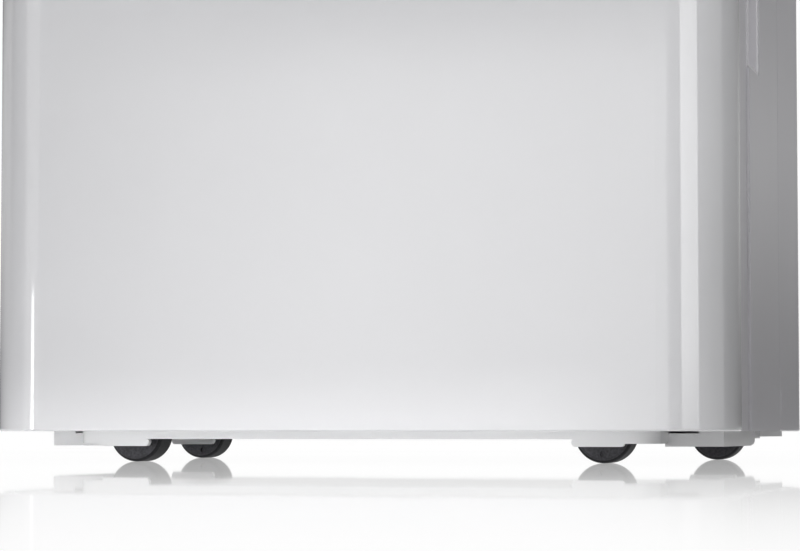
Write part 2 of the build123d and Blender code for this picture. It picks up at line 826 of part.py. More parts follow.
# Coils: finned cores that stand in the drip tray, with a header tube at each end
def coil_core(rear):
    """A pack of fins, grooved between fins on its front and rear faces."""
    grooves = int((coil_width - fin_pitch) // fin_pitch)
    with BuildPart() as core:
        with BuildSketch(Plane.XY.offset(coil_bottom)):
            with Locations((0, rear - coil_depth / 2)):
                Rectangle(coil_width, coil_depth)
            for face in (rear - coil_depth, rear):
                with Locations((0, face)):
                    with GridLocations(fin_pitch, 0, grooves, 1):
                        Rectangle(fin_gap, 2 * fin_groove, mode=Mode.SUBTRACT)
        extrude(amount=coil_height)
    return core.part


def coil_headers(rear):
    """The upright tubes at both ends of a core that join its rows."""
    with BuildPart() as headers:
        with BuildSketch(Plane.XY.offset(coil_bottom)):
            with Locations((-header_x, rear - coil_depth / 2), (header_x, rear - coil_depth / 2)):
                Circle(header_radius)
        extrude(amount=coil_height)
    return headers.part


header_x = coil_width / 2 + header_radius
for name, rear in (("evaporator", evaporator_rear), ("condenser", condenser_rear)):
    save(coil_core(rear), f"{name}_core")
    save(coil_headers(rear), f"{name}_headers")


# Drip tray: catches the water under the coils and drips into the tank
tray_half = header_x + header_radius + tray_margin
tray_front = condenser_rear - coil_depth - tray_margin
tray_rear = evaporator_rear + tray_margin
tray_floor = partition_top + tray_wall
drip_radius = 6.0
with BuildPart() as drip_tray:
    with BuildSketch(Plane.XY.offset(partition_top)):
        with Locations((0, (tray_front + tray_rear) / 2)):
            Rectangle(2 * tray_half, tray_rear - tray_front)
    extrude(amount=tray_height)
    offset(amount=-tray_wall, openings=drip_tray.faces().sort_by(Axis.Z)[-1])
    with BuildSketch(Plane.XY.offset(tray_floor)):
        for rear in (evaporator_rear, condenser_rear):
            with Locations((0, rear - coil_depth / 2)):
                with GridLocations(coil_width / 2, 0, 3, 1):
                    Rectangle(tray_margin, coil_depth)
    extrude(amount=coil_bottom - tray_floor)
    with BuildSketch(Plane.XY.offset(tray_floor)):
        with Locations((inlet_x, inlet_y)):
            Circle(drip_radius)
    extrude(amount=tank_top + tank_lid_thickness + tank_side_gap - tray_floor)
    with BuildSketch(y_plane(tray_rear)):
        with Locations((-spigot_x, spigot_z)):
            Circle(spigot_bore)
    extrude(amount=-tray_wall, mode=Mode.SUBTRACT)
    with BuildSketch(Plane.XY.offset(tray_floor)):
        with Locations((inlet_x, inlet_y)):
            Circle(drip_radius - tray_wall)
    extrude(amount=-tank_height, mode=Mode.SUBTRACT)
save(drip_tray.part, "drip_tray")


# Drain spigot: a short tube on the rear of the tray, for a hose
spigot_flange = 2.0
spigot_end = rear_y - spigot_recess
with BuildPart() as drain_spigot:
    with BuildSketch(y_plane(tray_rear)):
        with Locations((-spigot_x, spigot_z)):
            Circle(spigot_radius + spigot_flange)
    extrude(amount=spigot_flange)
    with BuildSketch(y_plane(tray_rear)):
        with Locations((-spigot_x, spigot_z)):
            Circle(spigot_radius)
    extrude(amount=spigot_end - tray_rear)
    with BuildSketch(y_plane(tray_rear)):
        with Locations((-spigot_x, spigot_z)):
            Circle(spigot_bore)
    extrude(amount=cabinet_depth, mode=Mode.SUBTRACT)
save(drain_spigot.part, "drain_spigot")


# Drain plug: a rubber stopper in the spigot, taken out to fit a hose
plug_length = 10.0
plug_head = 1.2
with BuildPart() as drain_plug:
    with BuildSketch(y_plane(spigot_end - plug_length)):
        with Locations((-spigot_x, spigot_z)):
            Circle(spigot_bore - running_clearance)
    extrude(amount=plug_length)
    with BuildSketch(y_plane(spigot_end)):
        with Locations((-spigot_x, spigot_z)):
            Circle(spigot_radius - fit)
    extrude(amount=plug_head)
save(drain_plug.part, "drain_plug")


# Partition: the plate between the compressor below and the air path above
drip_clear = 1.0
pipe_hole_gap = 2.0
port_offset = 18.0
port_places = [(compressor_x - port_offset, compressor_y), (compressor_x + port_offset, compressor_y)]
cup_clear = 1.0
with BuildPart() as partition:
    with BuildSketch(Plane.XY.offset(partition_top)):
        partition_rear = tray_rear
        with Locations((0, (partition_front + partition_rear) / 2)):
            Rectangle(2 * partition_half, partition_rear - partition_front)
        with Locations((inlet_x, inlet_y)):
            Circle(drip_radius + drip_clear, mode=Mode.SUBTRACT)
        with Locations(*port_places):
            Circle(pipe_radius + pipe_hole_gap, mode=Mode.SUBTRACT)
        for side in (-1, 1):
            notch_inner = half_width - seam - hold_depth - cup_clear
            notch_width = half_width - notch_inner
            with Locations((side * (notch_inner + notch_width / 2), band_y + hold_length / 2)):
                Rectangle(notch_width, hold_length + 2 * cup_clear, mode=Mode.SUBTRACT)
            with Locations((side * half_width, (partition_front + band_y) / 2 - cup_clear)):
                Rectangle(
                    2 * (half_width - band_half + wall + cup_clear),
                    band_y - partition_front,
                    mode=Mode.SUBTRACT,
                )
    extrude(amount=-partition_thickness)
save(partition.part, "partition")


# Fan scroll: a volute that opens upwards into a throat, with a motor plate and an inlet plate
first_radius = fan_radius + fan_tip_gap
throat_right = first_radius + 3 * scroll_growth


def scroll_outline(inset):
    """The volute in X and Z: three quarter arcs, each a step larger than the last, then the throat."""
    radius = first_radius - inset
    with BuildSketch() as outline:
        with BuildLine():
            CenterArc((0, fan_z), radius, 90, 90)
            CenterArc((scroll_growth, fan_z), radius + scroll_growth, 180, 90)
            CenterArc((scroll_growth, fan_z + scroll_growth), radius + 2 * scroll_growth, 270, 90)
            Polyline(
                (throat_right - inset, fan_z + scroll_growth),
                (throat_right - inset, duct_bottom),
                (inset, duct_bottom),
                (inset, fan_z + radius),
            )
            if inset:
                Line((inset, fan_z + radius), (0, fan_z + radius))
        make_face()
    return outline.sketch


with BuildPart() as fan_scroll:
    with BuildSketch(Plane.XZ.offset(-scroll_front)):
        add(scroll_outline(0))
    extrude(amount=-scroll_depth)
    with BuildSketch(Plane.XZ.offset(-scroll_rear)):
        with Locations((0, (partition_top + coil_bottom + coil_height) / 2)):
            Rectangle(coil_width, coil_bottom + coil_height - partition_top)
    extrude(amount=scroll_wall)
    with BuildSketch(Plane.XZ.offset(-scroll_front - scroll_wall)):
        add(scroll_outline(scroll_wall))
    extrude(amount=-scroll_depth + 2 * scroll_wall, mode=Mode.SUBTRACT)
    with BuildSketch(Plane.XZ.offset(-scroll_front)):
        with Locations((0, fan_z)):
            Circle(inlet_radius_of_fan)
    extrude(amount=-2 * scroll_depth, mode=Mode.SUBTRACT)
    with BuildSketch(Plane.XZ.offset(-scroll_front)):
        with Locations((0, fan_z)):
            Circle(inlet_radius_of_fan)
            Circle(shaft_radius + fit, mode=Mode.SUBTRACT)
    extrude(amount=-scroll_wall)
save(fan_scroll.part, "fan_scroll")


# Fan impeller: a back plate, a ring of leaning blades and a front ring, on a hub
impeller_front = scroll_front + scroll_wall + fan_tip_gap
hub_radius = 10.0
hub_length = 22.0
rim_width = 8.0
blade_lean = 32.0
blade_reach = 16.0
with BuildPart() as fan_impeller:
    with BuildSketch(Plane.XZ.offset(-impeller_front)):
        with Locations((0, fan_z)):
            Circle(fan_radius)
    extrude(amount=-fan_plate)
    with BuildSketch(Plane.XZ.offset(-impeller_front - fan_plate)):
        with Locations((0, fan_z)):
            Circle(hub_radius)
            with PolarLocations(fan_radius - rim_width, fan_blades):
                Rectangle(blade_reach, fan_blade_thickness, rotation=blade_lean)
    extrude(amount=-hub_length)
    with BuildSketch(Plane.XZ.offset(-impeller_front - hub_length)):
        with Locations((0, fan_z)):
            with PolarLocations(fan_radius - rim_width, fan_blades):
                Rectangle(blade_reach, fan_blade_thickness, rotation=blade_lean)
    extrude(amount=-fan_length + hub_length)
    with BuildSketch(Plane.XZ.offset(-impeller_front - fan_length)):
        with Locations((0, fan_z)):
            Circle(fan_radius)
            Circle(fan_radius - 2 * rim_width, mode=Mode.SUBTRACT)
    extrude(amount=-fan_plate)
    with BuildSketch(Plane.XZ.offset(-impeller_front)):
        with Locations((0, fan_z)):
            Circle(shaft_radius)
    extrude(amount=-fan_length, mode=Mode.SUBTRACT)
save(fan_impeller.part, "fan_impeller")


# Fan motor and its shaft
motor_rear = scroll_front
motor_front = motor_rear - motor_boss_length - motor_length
motor_chamfer = 6.0
shaft_stub = 3.0
with BuildPart() as fan_motor:
    with BuildSketch(Plane.XZ.offset(-motor_front)):
        with Locations((0, fan_z)):
            Circle(motor_radius)
    extrude(amount=-motor_length)
    chamfer(fan_motor.edges().filter_by(GeomType.CIRCLE).sort_by(Axis.Y)[0], motor_chamfer)
    with BuildSketch(Plane.XZ.offset(-motor_rear)):
        with Locations((0, fan_z)):
            Circle(motor_boss_radius)
    extrude(amount=2 * motor_boss_length)
    with BuildSketch(Plane.XZ.offset(-motor_front)):
        with Locations((0, fan_z)):
            Circle(shaft_radius + running_clearance)
    extrude(amount=-2 * motor_length, mode=Mode.SUBTRACT)
save(fan_motor.part, "fan_motor")
with BuildPart() as fan_shaft:
    with BuildSketch(Plane.XZ.offset(-motor_front + shaft_stub)):
        with Locations((0, fan_z)):
            Circle(shaft_radius)
    extrude(amount=-(impeller_front + hub_length + shaft_stub - motor_front + shaft_stub))
save(fan_shaft.part, "fan_shaft")


# Outlet duct: widens from the throat of the scroll to the outlet in the top
def duct_form(inset):
    """A loft from the throat's rectangle to the outlet's rectangle, drawn that far inside its faces."""
    throat_rear = scroll_rear - scroll_wall
    with BuildPart() as form:
        with BuildSketch(Plane.XY.offset(duct_bottom)):
            with Locations((throat_right / 2, (scroll_front + throat_rear) / 2)):
                Rectangle(throat_right - 2 * inset, throat_rear - scroll_front - 2 * inset)
        with BuildSketch(Plane.XY.offset(duct_top)):
            with Locations((0, (outlet_front + outlet_rear) / 2)):
                Rectangle(
                    2 * (outlet_half_width + outlet_rim - inset),
                    outlet_rear - outlet_front + 2 * (outlet_rim - inset),
                )
        loft(ruled=True)
    return form.part


with BuildPart() as outlet_duct:
    add(duct_form(0))
    add(duct_form(duct_wall), mode=Mode.SUBTRACT)
save(outlet_duct.part, "outlet_duct")


# Outlet vanes: a frame of fixed blades on top of the duct
with BuildPart() as outlet_vanes:
    with BuildSketch(Plane.XY.offset(duct_top)):
        with Locations((0, (outlet_front + outlet_rear) / 2)):
            Rectangle(2 * (outlet_half_width + outlet_rim), outlet_depth + 2 * outlet_rim)
            Rectangle(2 * outlet_half_width, outlet_depth, mode=Mode.SUBTRACT)
            vane_count = int(2 * outlet_half_width // vane_pitch)
            with GridLocations(vane_pitch, 0, vane_count, 1):
                Rectangle(vane_thickness, outlet_depth + outlet_rim)
    extrude(amount=vane_height)
save(outlet_vanes.part, "outlet_vanes")


# Top cover: a rounded cap, open for the air outlet and for the control fascia
fascia_middle = (fascia_front + fascia_rear) / 2
fascia_bottom = cabinet_height - fascia_thickness
seat_width = 5.0
hinge_y = outlet_rear - flap_gap - flap_bead_radius
hinge_z = cabinet_height - fit - flap_thickness
hinge_boss = 5.0
with BuildPart() as cap_hollow:
    with BuildSketch(Plane.XY.offset(shell_top + seam)):
        add(cabinet_plan(wall))
    extrude(amount=top_inside - shell_top - seam)
    chamfer(cap_hollow.faces().sort_by(Axis.Z)[-1].edges(), top_round / 2)
with BuildPart() as top_cover:
    with BuildSketch(Plane.XY.offset(shell_top + seam)):
        add(cabinet_plan(0))
    extrude(amount=top_cover_height - seam)
    fillet(top_cover.faces().sort_by(Axis.Z)[-1].edges(), top_round)
    add(cap_hollow.part, mode=Mode.SUBTRACT)
    # the seat round the fascia and the bosses of the flap's hinge
    with BuildSketch(Plane.XY.offset(top_inside)):
        with Locations((0, fascia_middle)):
            RectangleRounded(
                2 * (fascia_half_width + wall), fascia_depth + 2 * wall, fascia_corner + wall
            )
    extrude(amount=-wall)
    with BuildSketch(Plane.XY.offset(top_inside)):
        for side in (-1, 1):
            with Locations((side * (outlet_half_width + flap_pin_length / 2 + flap_gap), hinge_y)):
                Rectangle(flap_pin_length + 2 * flap_gap, 2 * hinge_boss)
    extrude(amount=-(top_inside - duct_top - vane_height - fit))
    # the openings
    with BuildSketch(Plane.XY.offset(fascia_bottom)):
        with Locations((0, fascia_middle)):
            RectangleRounded(2 * fascia_half_width, fascia_depth, fascia_corner)
    extrude(amount=2 * wall, mode=Mode.SUBTRACT)
    with BuildSketch(Plane.XY.offset(top_inside - 2 * wall)):
        with Locations((0, fascia_middle)):
            Rectangle(2 * (fascia_half_width - seat_width), fascia_depth - 2 * seat_width)
        with Locations((0, (outlet_front + outlet_rear) / 2)):
            Rectangle(2 * outlet_half_width, outlet_depth)
    extrude(amount=4 * wall, mode=Mode.SUBTRACT)
    # the hinge holes
    with BuildSketch(Plane.YZ):
        with Locations((hinge_y, hinge_z)):
            Circle(flap_pin_radius + running_clearance)
    extrude(amount=outlet_half_width + flap_pin_length, both=True, mode=Mode.SUBTRACT)
save(top_cover.part, "top_cover")


# Outlet flap: closes flush over the vanes and turns on a bead along its rear edge
flap_front = outlet_front + flap_gap
flap_half = outlet_half_width - flap_gap
with BuildPart() as outlet_flap:
    with BuildSketch(Plane.XY.offset(hinge_z)):
        with Locations((0, (flap_front + hinge_y) / 2)):
            Rectangle(2 * flap_half, hinge_y - flap_front)
    extrude(amount=flap_thickness)
    with BuildSketch(Plane.YZ):
        with Locations((hinge_y, hinge_z)):
            Circle(flap_bead_radius)
    extrude(amount=flap_half, both=True)
    with BuildSketch(Plane.YZ):
        with Locations((hinge_y, hinge_z)):
            Circle(flap_pin_radius)
    extrude(amount=outlet_half_width + flap_pin_length - fit, both=True)
save(outlet_flap.part, "outlet_flap")


# Control fascia: carries the display window, the buttons, the lamps and the control board
button_y = fascia_middle - button_drop
lamp_y = button_y + lamp_y_offset
button_places = [
    (side * (button_first_x + index * button_pitch), button_y) for side in (-1, 1) for index in range(3)
]
lamp_places = [(x, lamp_y) for x, y in button_places]
lens_thickness = 1.6
post_inset = 5.0
board_depth = fascia_depth - 2 * seat_width - 4 * fit
board_half = fascia_half_width - seat_width - 2 * fit
with BuildPart() as control_fascia:
    with BuildSketch(Plane.XY.offset(fascia_bottom)):
        with Locations((0, fascia_middle)):
            RectangleRounded(
                2 * (fascia_half_width - fit), fascia_depth - 2 * fit, fascia_corner - fit
            )
        with Locations(*button_places):
            SlotOverall(
                button_length + 2 * button_clearance,
                button_width + 2 * button_clearance,
                mode=Mode.SUBTRACT,
            )
        with Locations(*lamp_places):
            Rectangle(lamp_length, lamp_width, mode=Mode.SUBTRACT)
    extrude(amount=fascia_thickness - fit)
    with BuildSketch(Plane.XY.offset(cabinet_height - fit)):
        with Locations((0, fascia_middle)):
            RectangleRounded(2 * display_half_width, display_depth, fascia_corner / 2)
    extrude(amount=-lens_thickness, mode=Mode.SUBTRACT)
    with BuildSketch(Plane.XY.offset(fascia_bottom)):
        with Locations((0, fascia_middle)):
            with GridLocations(2 * (board_half - post_inset), board_depth - 2 * post_inset, 2, 2):
                Rectangle(board_post_width, board_post_width)
    extrude(amount=board_top - fascia_bottom)
save(control_fascia.part, "control_fascia")
with BuildPart() as display_window:
    with BuildSketch(Plane.XY.offset(cabinet_height - fit)):
        with Locations((0, fascia_middle)):
            RectangleRounded(
                2 * (display_half_width - fit / 2), display_depth - fit, fascia_corner / 2 - fit / 2
            )
    extrude(amount=-lens_thickness)
save(display_window.part, "display_window")
with BuildPart() as indicator_lamps:
    with BuildSketch(Plane.XY.offset(fascia_bottom)):
        with Locations(*lamp_places):
            Rectangle(lamp_length, lamp_width)
    extrude(amount=fascia_thickness - fit)
save(indicator_lamps.part, "indicator_lamps")


# Push buttons: caps flush with the fascia, each held by a flange and carried on a stem above its switch
stem_width = 4.0
button_names = ("fan", "mode", "power", "timer", "humidity_down", "humidity_up")
switch_top = board_top + switch_height
button_flange_top = fascia_bottom - fit / 3
for name, (button_x, y) in zip(button_names, button_places):
    with BuildPart() as button:
        with BuildSketch(Plane.XY.offset(button_flange_top)):
            with Locations((button_x, y)):
                SlotOverall(button_length, button_width)
        extrude(amount=cabinet_height - fit - button_flange_top)
        with BuildSketch(Plane.XY.offset(button_flange_top)):
            with Locations((button_x, y)):
                Rectangle(button_length + 2 * button_flange, button_width + 2 * button_flange)
        extrude(amount=-button_flange)
        with BuildSketch(Plane.XY.offset(button_flange_top)):
            with Locations((button_x, y)):
                Rectangle(stem_width, stem_width)
        extrude(amount=switch_top + button_travel + fit - button_flange_top)
    save(button.part, f"{name}_button")


# Control board: the circuit board under the fascia with its switches
with BuildPart() as control_board:
    with BuildSketch(Plane.XY.offset(board_top)):
        with Locations((0, fascia_middle)):
            Rectangle(2 * board_half, board_depth)
    extrude(amount=-board_thickness)
    with BuildSketch(Plane.XY.offset(board_top)):
        with Locations(*button_places):
            Rectangle(switch_size, switch_size)
    extrude(amount=switch_height)
save(control_board.part, "control_board")


# Compressor: a domed can on a three-cornered foot plate, on rubber feet
compressor_bottom = pan_bottom + pan_floor + foot_height
compressor_top = partition_bottom - compressor_headroom
compressor_height = compressor_top - compressor_bottom
with BuildPart() as compressor:
    with BuildSketch(Plane.XZ) as can:
        with Locations((compressor_radius / 2, compressor_bottom + compressor_height / 2)):
            Rectangle(compressor_radius, compressor_height)
        chamfer(can.vertices().group_by(Axis.X)[-1], first_cut * compressor_dome)
        dome_corners = can.vertices().filter_by_position(Axis.X, compressor_radius / 2, compressor_radius)
        chamfer(dome_corners, second_cut * compressor_dome)
    revolve(axis=Axis.Z)
    with BuildSketch(Plane.XY.offset(compressor_bottom)):
        with PolarLocations(foot_reach, 3, start_angle=90):
            Circle(foot_radius)
        make_hull()
    extrude(amount=foot_plate_thickness)
save(compressor.part.moved(Location((compressor_x, compressor_y, 0))), "compressor")
with BuildPart() as compressor_feet:
    with BuildSketch(Plane.XY.offset(pan_bottom + pan_floor)):
        with Locations((compressor_x, compressor_y)):
            with PolarLocations(foot_reach, 3, start_angle=90):
                Circle(foot_radius)
    extrude(amount=foot_height)
save(compressor_feet.part, "compressor_feet")


# Pipes: tubes between the compressor and the coils
def mitred_pipe(points, radius):
    """A round rod swept along straight runs that meet in mitred corners."""
    with BuildPart() as pipe:
        with BuildLine() as path:
            Polyline(*points)
        with BuildSketch(Plane(origin=path.line @ 0, z_dir=path.line % 0)):
            Circle(radius)
        sweep(path=path.line, transition=Transition.RIGHT)
    return pipe.part


condenser_y = condenser_rear - coil_depth / 2
evaporator_y = evaporator_rear - coil_depth / 2
discharge_z = coil_bottom + pipe_rise
suction_z = discharge_z + pipe_spacing
capillary_z = coil_bottom + coil_height - pipe_rise
suction_x = -(half_width - seam - hold_depth - pipe_radius - 2 * cup_clear)
discharge_points = (
    (*port_places[0], compressor_top),
    (*port_places[0], discharge_z),
    (-header_x, compressor_y, discharge_z),
    (-header_x, condenser_y - header_radius, discharge_z),
)
suction_points = (
    (*port_places[1], compressor_top),
    (*port_places[1], suction_z),
    (suction_x, compressor_y, suction_z),
    (suction_x, evaporator_y, suction_z),
    (-header_x - header_radius, evaporator_y, suction_z),
)
save(mitred_pipe(discharge_points, pipe_radius), "discharge_pipe")
save(mitred_pipe(suction_points, pipe_radius), "suction_pipe")
with BuildPart() as capillary_tube:
    with BuildSketch(y_plane(condenser_y + header_radius)):
        with Locations((-header_x, capillary_z)):
            Circle(capillary_radius)
    extrude(amount=evaporator_y - condenser_y - 2 * header_radius)
save(capillary_tube.part, "capillary_tube")


# Run capacitor: a can that stands in the pan
with BuildPart() as run_capacitor:
    with BuildSketch(Plane.XY.offset(pan_bottom + pan_floor)):
        with Locations((capacitor_x, capacitor_y)):
            Circle(capacitor_radius)
    extrude(amount=capacitor_height)
save(run_capacitor.part, "run_capacitor")


# Tank switch: hangs under the partition and feels the front of the tank
switch_width = 24.0
switch_depth = 10.0
switch_drop = 20.0
switch_inset = 38.0
plunger_radius = 2.0
switch_rear = tank_front - plunger_radius
switch_x = tank_width / 2 - switch_inset
with BuildPart() as tank_switch:
    with BuildSketch(Plane.XY.offset(partition_bottom)):
        with Locations((switch_x, switch_rear - switch_depth / 2)):
            Rectangle(switch_width, switch_depth)
    extrude(amount=-switch_drop)
    with BuildSketch(y_plane(switch_rear)):
        with Locations((-switch_x, tank_top - 2 * plunger_radius)):
            Circle(plunger_radius)
    extrude(amount=plunger_radius - fit)
save(tank_switch.part, "tank_switch")


# Cord gland: the bush in the rear cover where the mains cord goes in
with BuildPart() as cord_gland:
    with BuildSketch(y_plane(rear_y - fit)):
        with Locations((-gland_x, spigot_z)):
            Circle(gland_radius)
    extrude(amount=-gland_length)
    with BuildSketch(y_plane(inner_rear)):
        with Locations((-gland_x, spigot_z)):
            Rectangle(2 * gland_flange_radius, 2 * gland_flange_radius)
    extrude(amount=-gland_flange_thickness)
    with BuildSketch(y_plane(rear_y)):
        with Locations((-gland_x, spigot_z)):
            Circle(gland_bore)
    extrude(amount=-2 * gland_length, mode=Mode.SUBTRACT)
save(cord_gland.part, "cord_gland")
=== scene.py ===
# %% [markdown]
# # A dehumidifier on small rollers
# The object is a white compressor dehumidifier: a glossy front cover wrapped round the corners, a recessed
# band behind it, flat side panels, a flared back, and a shallow base on four small dark rollers. The solid
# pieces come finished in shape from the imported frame. This lesson gives each of them its finish, adds the
# small fittings that a mould, a printer or a screwdriver leaves behind, and lights the whole like a
# catalogue picture taken with the lens almost on the floor.

# %% Load the frame
import json
from math import atan2, hypot, pi, radians, tan

import bpy
import numpy as np
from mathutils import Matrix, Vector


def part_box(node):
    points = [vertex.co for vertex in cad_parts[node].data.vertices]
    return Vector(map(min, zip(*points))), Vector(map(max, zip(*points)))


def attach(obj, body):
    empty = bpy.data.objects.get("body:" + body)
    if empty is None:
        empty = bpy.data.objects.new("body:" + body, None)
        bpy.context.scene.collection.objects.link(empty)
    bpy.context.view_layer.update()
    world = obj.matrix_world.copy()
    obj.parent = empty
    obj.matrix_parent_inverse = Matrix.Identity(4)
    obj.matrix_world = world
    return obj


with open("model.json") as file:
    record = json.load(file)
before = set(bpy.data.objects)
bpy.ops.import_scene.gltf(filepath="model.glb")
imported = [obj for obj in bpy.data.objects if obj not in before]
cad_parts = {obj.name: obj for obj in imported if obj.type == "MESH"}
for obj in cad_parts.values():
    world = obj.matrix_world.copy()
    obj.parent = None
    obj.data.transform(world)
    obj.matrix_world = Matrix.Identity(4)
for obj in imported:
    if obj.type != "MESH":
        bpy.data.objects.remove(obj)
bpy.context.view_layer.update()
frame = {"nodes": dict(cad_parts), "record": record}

mm = 0.001
nodes = frame["nodes"]

# %% [markdown]
# ## Finishes
# Nearly everything here is moulded plastic. On the real object a moulded face is never one flat colour: the
# shade drifts a little over the wide faces, the polish of the mould varies, and a fine grain breaks up the
# reflections. One image per piece could hold all that, but noise worked out from the piece's own
# coordinates keeps the same grain size on every piece and needs no unwrapping, so that is the way used
# here. The first helpers add a node, make noise, and let a number or a colour follow it.

# %% Noise and colour
def add_node(tree, kind, **settings):
    """One shader node of that kind. A setting names either a property of the node or one of its inputs."""
    node = tree.nodes.new(kind)
    for name, value in settings.items():
        if hasattr(node, name):
            setattr(node, name, value)
        else:
            node.inputs[name.replace("_", " ").title()].default_value = value
    return node


def noise_at(tree, place, size, detail=2.0):
    """Smooth noise from 0 to 1 whose lumps are about that many metres across."""
    noise = add_node(tree, "ShaderNodeTexNoise", scale=1.0 / size, detail=detail)
    tree.links.new(place, noise.inputs["Vector"])
    return noise.outputs["Fac"]


noise_low, noise_high = 0.3, 0.7


def spread(tree, value, low, high, start=noise_low, stop=noise_high):
    """Maps the range from start to stop of a value smoothly to the range from low to high."""
    limits = {"From Min": start, "From Max": stop, "To Min": low, "To Max": high}
    ramp = add_node(tree, "ShaderNodeMapRange", interpolation_type="SMOOTHSTEP")
    for name, number in limits.items():
        ramp.inputs[name].default_value = number
    tree.links.new(value, ramp.inputs["Value"])
    return ramp.outputs["Result"]


def two_tone(tree, value, dark, light):
    """A colour that runs from dark to light as the value runs over the middle range of a noise."""
    ramp = tree.nodes.new("ShaderNodeValToRGB")
    for stop, position, colour in zip(ramp.color_ramp.elements, (noise_low, noise_high), (dark, light)):
        stop.position = position
        stop.color = (*colour, 1.0)
    tree.links.new(value, ramp.inputs["Fac"])
    return ramp.outputs["Color"]


print("A noise is used between", noise_low, "and", noise_high)

# %% [markdown]
# Some patterns are regular: the fins of a coil, the threads of a net, the lines that a lathe leaves. A wave
# texture would do for them, but a sine of one coordinate gives the pitch in metres, and the same small sums
# serve again for the cards of the studio.

# %% Sums and stripes
def along(tree, vector, axis):
    """The part of a vector along the axis X, Y or Z."""
    parts = tree.nodes.new("ShaderNodeSeparateXYZ")
    tree.links.new(vector, parts.inputs[0])
    return parts.outputs[axis]


def combine(tree, operation, first, second=0.0):
    """The result of one sum on two values, each a socket or a number."""
    node = add_node(tree, "ShaderNodeMath", operation=operation)
    for socket, value in zip(node.inputs, (first, second)):
        if isinstance(value, float):
            socket.default_value = value
        else:
            tree.links.new(value, socket)
    return node.outputs[0]


def stripes(tree, place, axis, pitch):
    """A sine along one axis of the piece, smoothed to run from 0 to 1, with that pitch in metres."""
    angle = combine(tree, "MULTIPLY", along(tree, place, axis), 2 * pi / pitch)
    return spread(tree, combine(tree, "SINE", angle), 0.0, 1.0, -1.0, 1.0)


def scaled(tree, colour, amount):
    """A colour times an amount from 0 to 1."""
    node = add_node(tree, "ShaderNodeVectorMath", operation="SCALE")
    tree.links.new(colour, node.inputs[0])
    tree.links.new(amount, node.inputs["Scale"])
    return node.outputs[0]


print("Helpers for sums:", [helper.__name__ for helper in (along, combine, stripes, scaled)])

# %% [markdown]
# A finish is one material: its colour and its roughness wander a little over lumps of a given size, and a
# bump gives it its grain. A bump only tilts the shading, which is enough for grain and fine lines. The
# shapes themselves are in the solids.

# %% Parts of a finish
def new_finish(name):
    """An empty node material: its tree, its main shader and the piece's own coordinates in metres."""
    material = bpy.data.materials.new(name)
    material.use_nodes = True
    tree = material.node_tree
    shader = tree.nodes["Principled BSDF"]
    place = tree.nodes.new("ShaderNodeTexCoord").outputs["Object"]
    return material, tree, shader, place


def drifting_colour(tree, place, colour, drift, lump, detail):
    """A colour that drifts by that share of itself, both ways, over lumps of that size."""
    dark = np.array(colour) * (1 - drift)
    light = np.minimum(np.array(colour) * (1 + drift), 1)
    return two_tone(tree, noise_at(tree, place, lump, detail), dark, light)


def varied(tree, place, value, swing, lump):
    """A number that varies by that share of itself, both ways, over lumps of that size."""
    return spread(tree, noise_at(tree, place, lump), value * (1 - swing), value * (1 + swing))


def raise_surface(tree, shader, height, depth):
    """Feeds a height from 0 to 1 to the shader's normal as a bump of that depth in metres."""
    bump = add_node(tree, "ShaderNodeBump", distance=depth)
    tree.links.new(height, bump.inputs["Height"])
    tree.links.new(bump.outputs["Normal"], shader.inputs["Normal"])


print("Helpers for finishes:", [helper.__name__ for helper in (drifting_colour, varied, raise_surface)])

# %% [markdown]
# ### Moulded plastic
# A moulded finish is four choices: its colour, how much that drifts, how polished the mould was, and the
# size and depth of its grain. The glossy front has almost no grain but a slow ripple, as injection-moulded
# covers have; the satin sides have a fine spark-eroded grain that softens every reflection.

# %% Moulded plastic
shade_lump, shade_detail = 60 * mm, 3.0
polish_lump, polish_swing = 120 * mm, 0.1
coat_roughness = 0.05


def moulded(name, colour, drift, roughness, grain, depth, clear_coat=0.0):
    """Moulded plastic of that colour, drift and roughness. Grain and depth are in millimetres."""
    material, tree, shader, place = new_finish(name)
    shade = drifting_colour(tree, place, colour, drift, shade_lump, shade_detail)
    tree.links.new(shade, shader.inputs["Base Color"])
    polish = varied(tree, place, roughness, polish_swing, polish_lump)
    tree.links.new(polish, shader.inputs["Roughness"])
    raise_surface(tree, shader, noise_at(tree, place, grain * mm), depth * mm)
    shader.inputs["Coat Weight"].default_value = clear_coat
    shader.inputs["Coat Roughness"].default_value = coat_roughness
    return material


print("Shade drifts over", shade_lump, "m and polish over", polish_lump, "m")

# %% [markdown]
# The plastics of this object differ only in those choices, so they make one list. The whites of the shells
# are well below paper white, which leaves room for their highlights. The base lies in the cabinet's shade
# and still looks light in the picture, so its white is the palest.

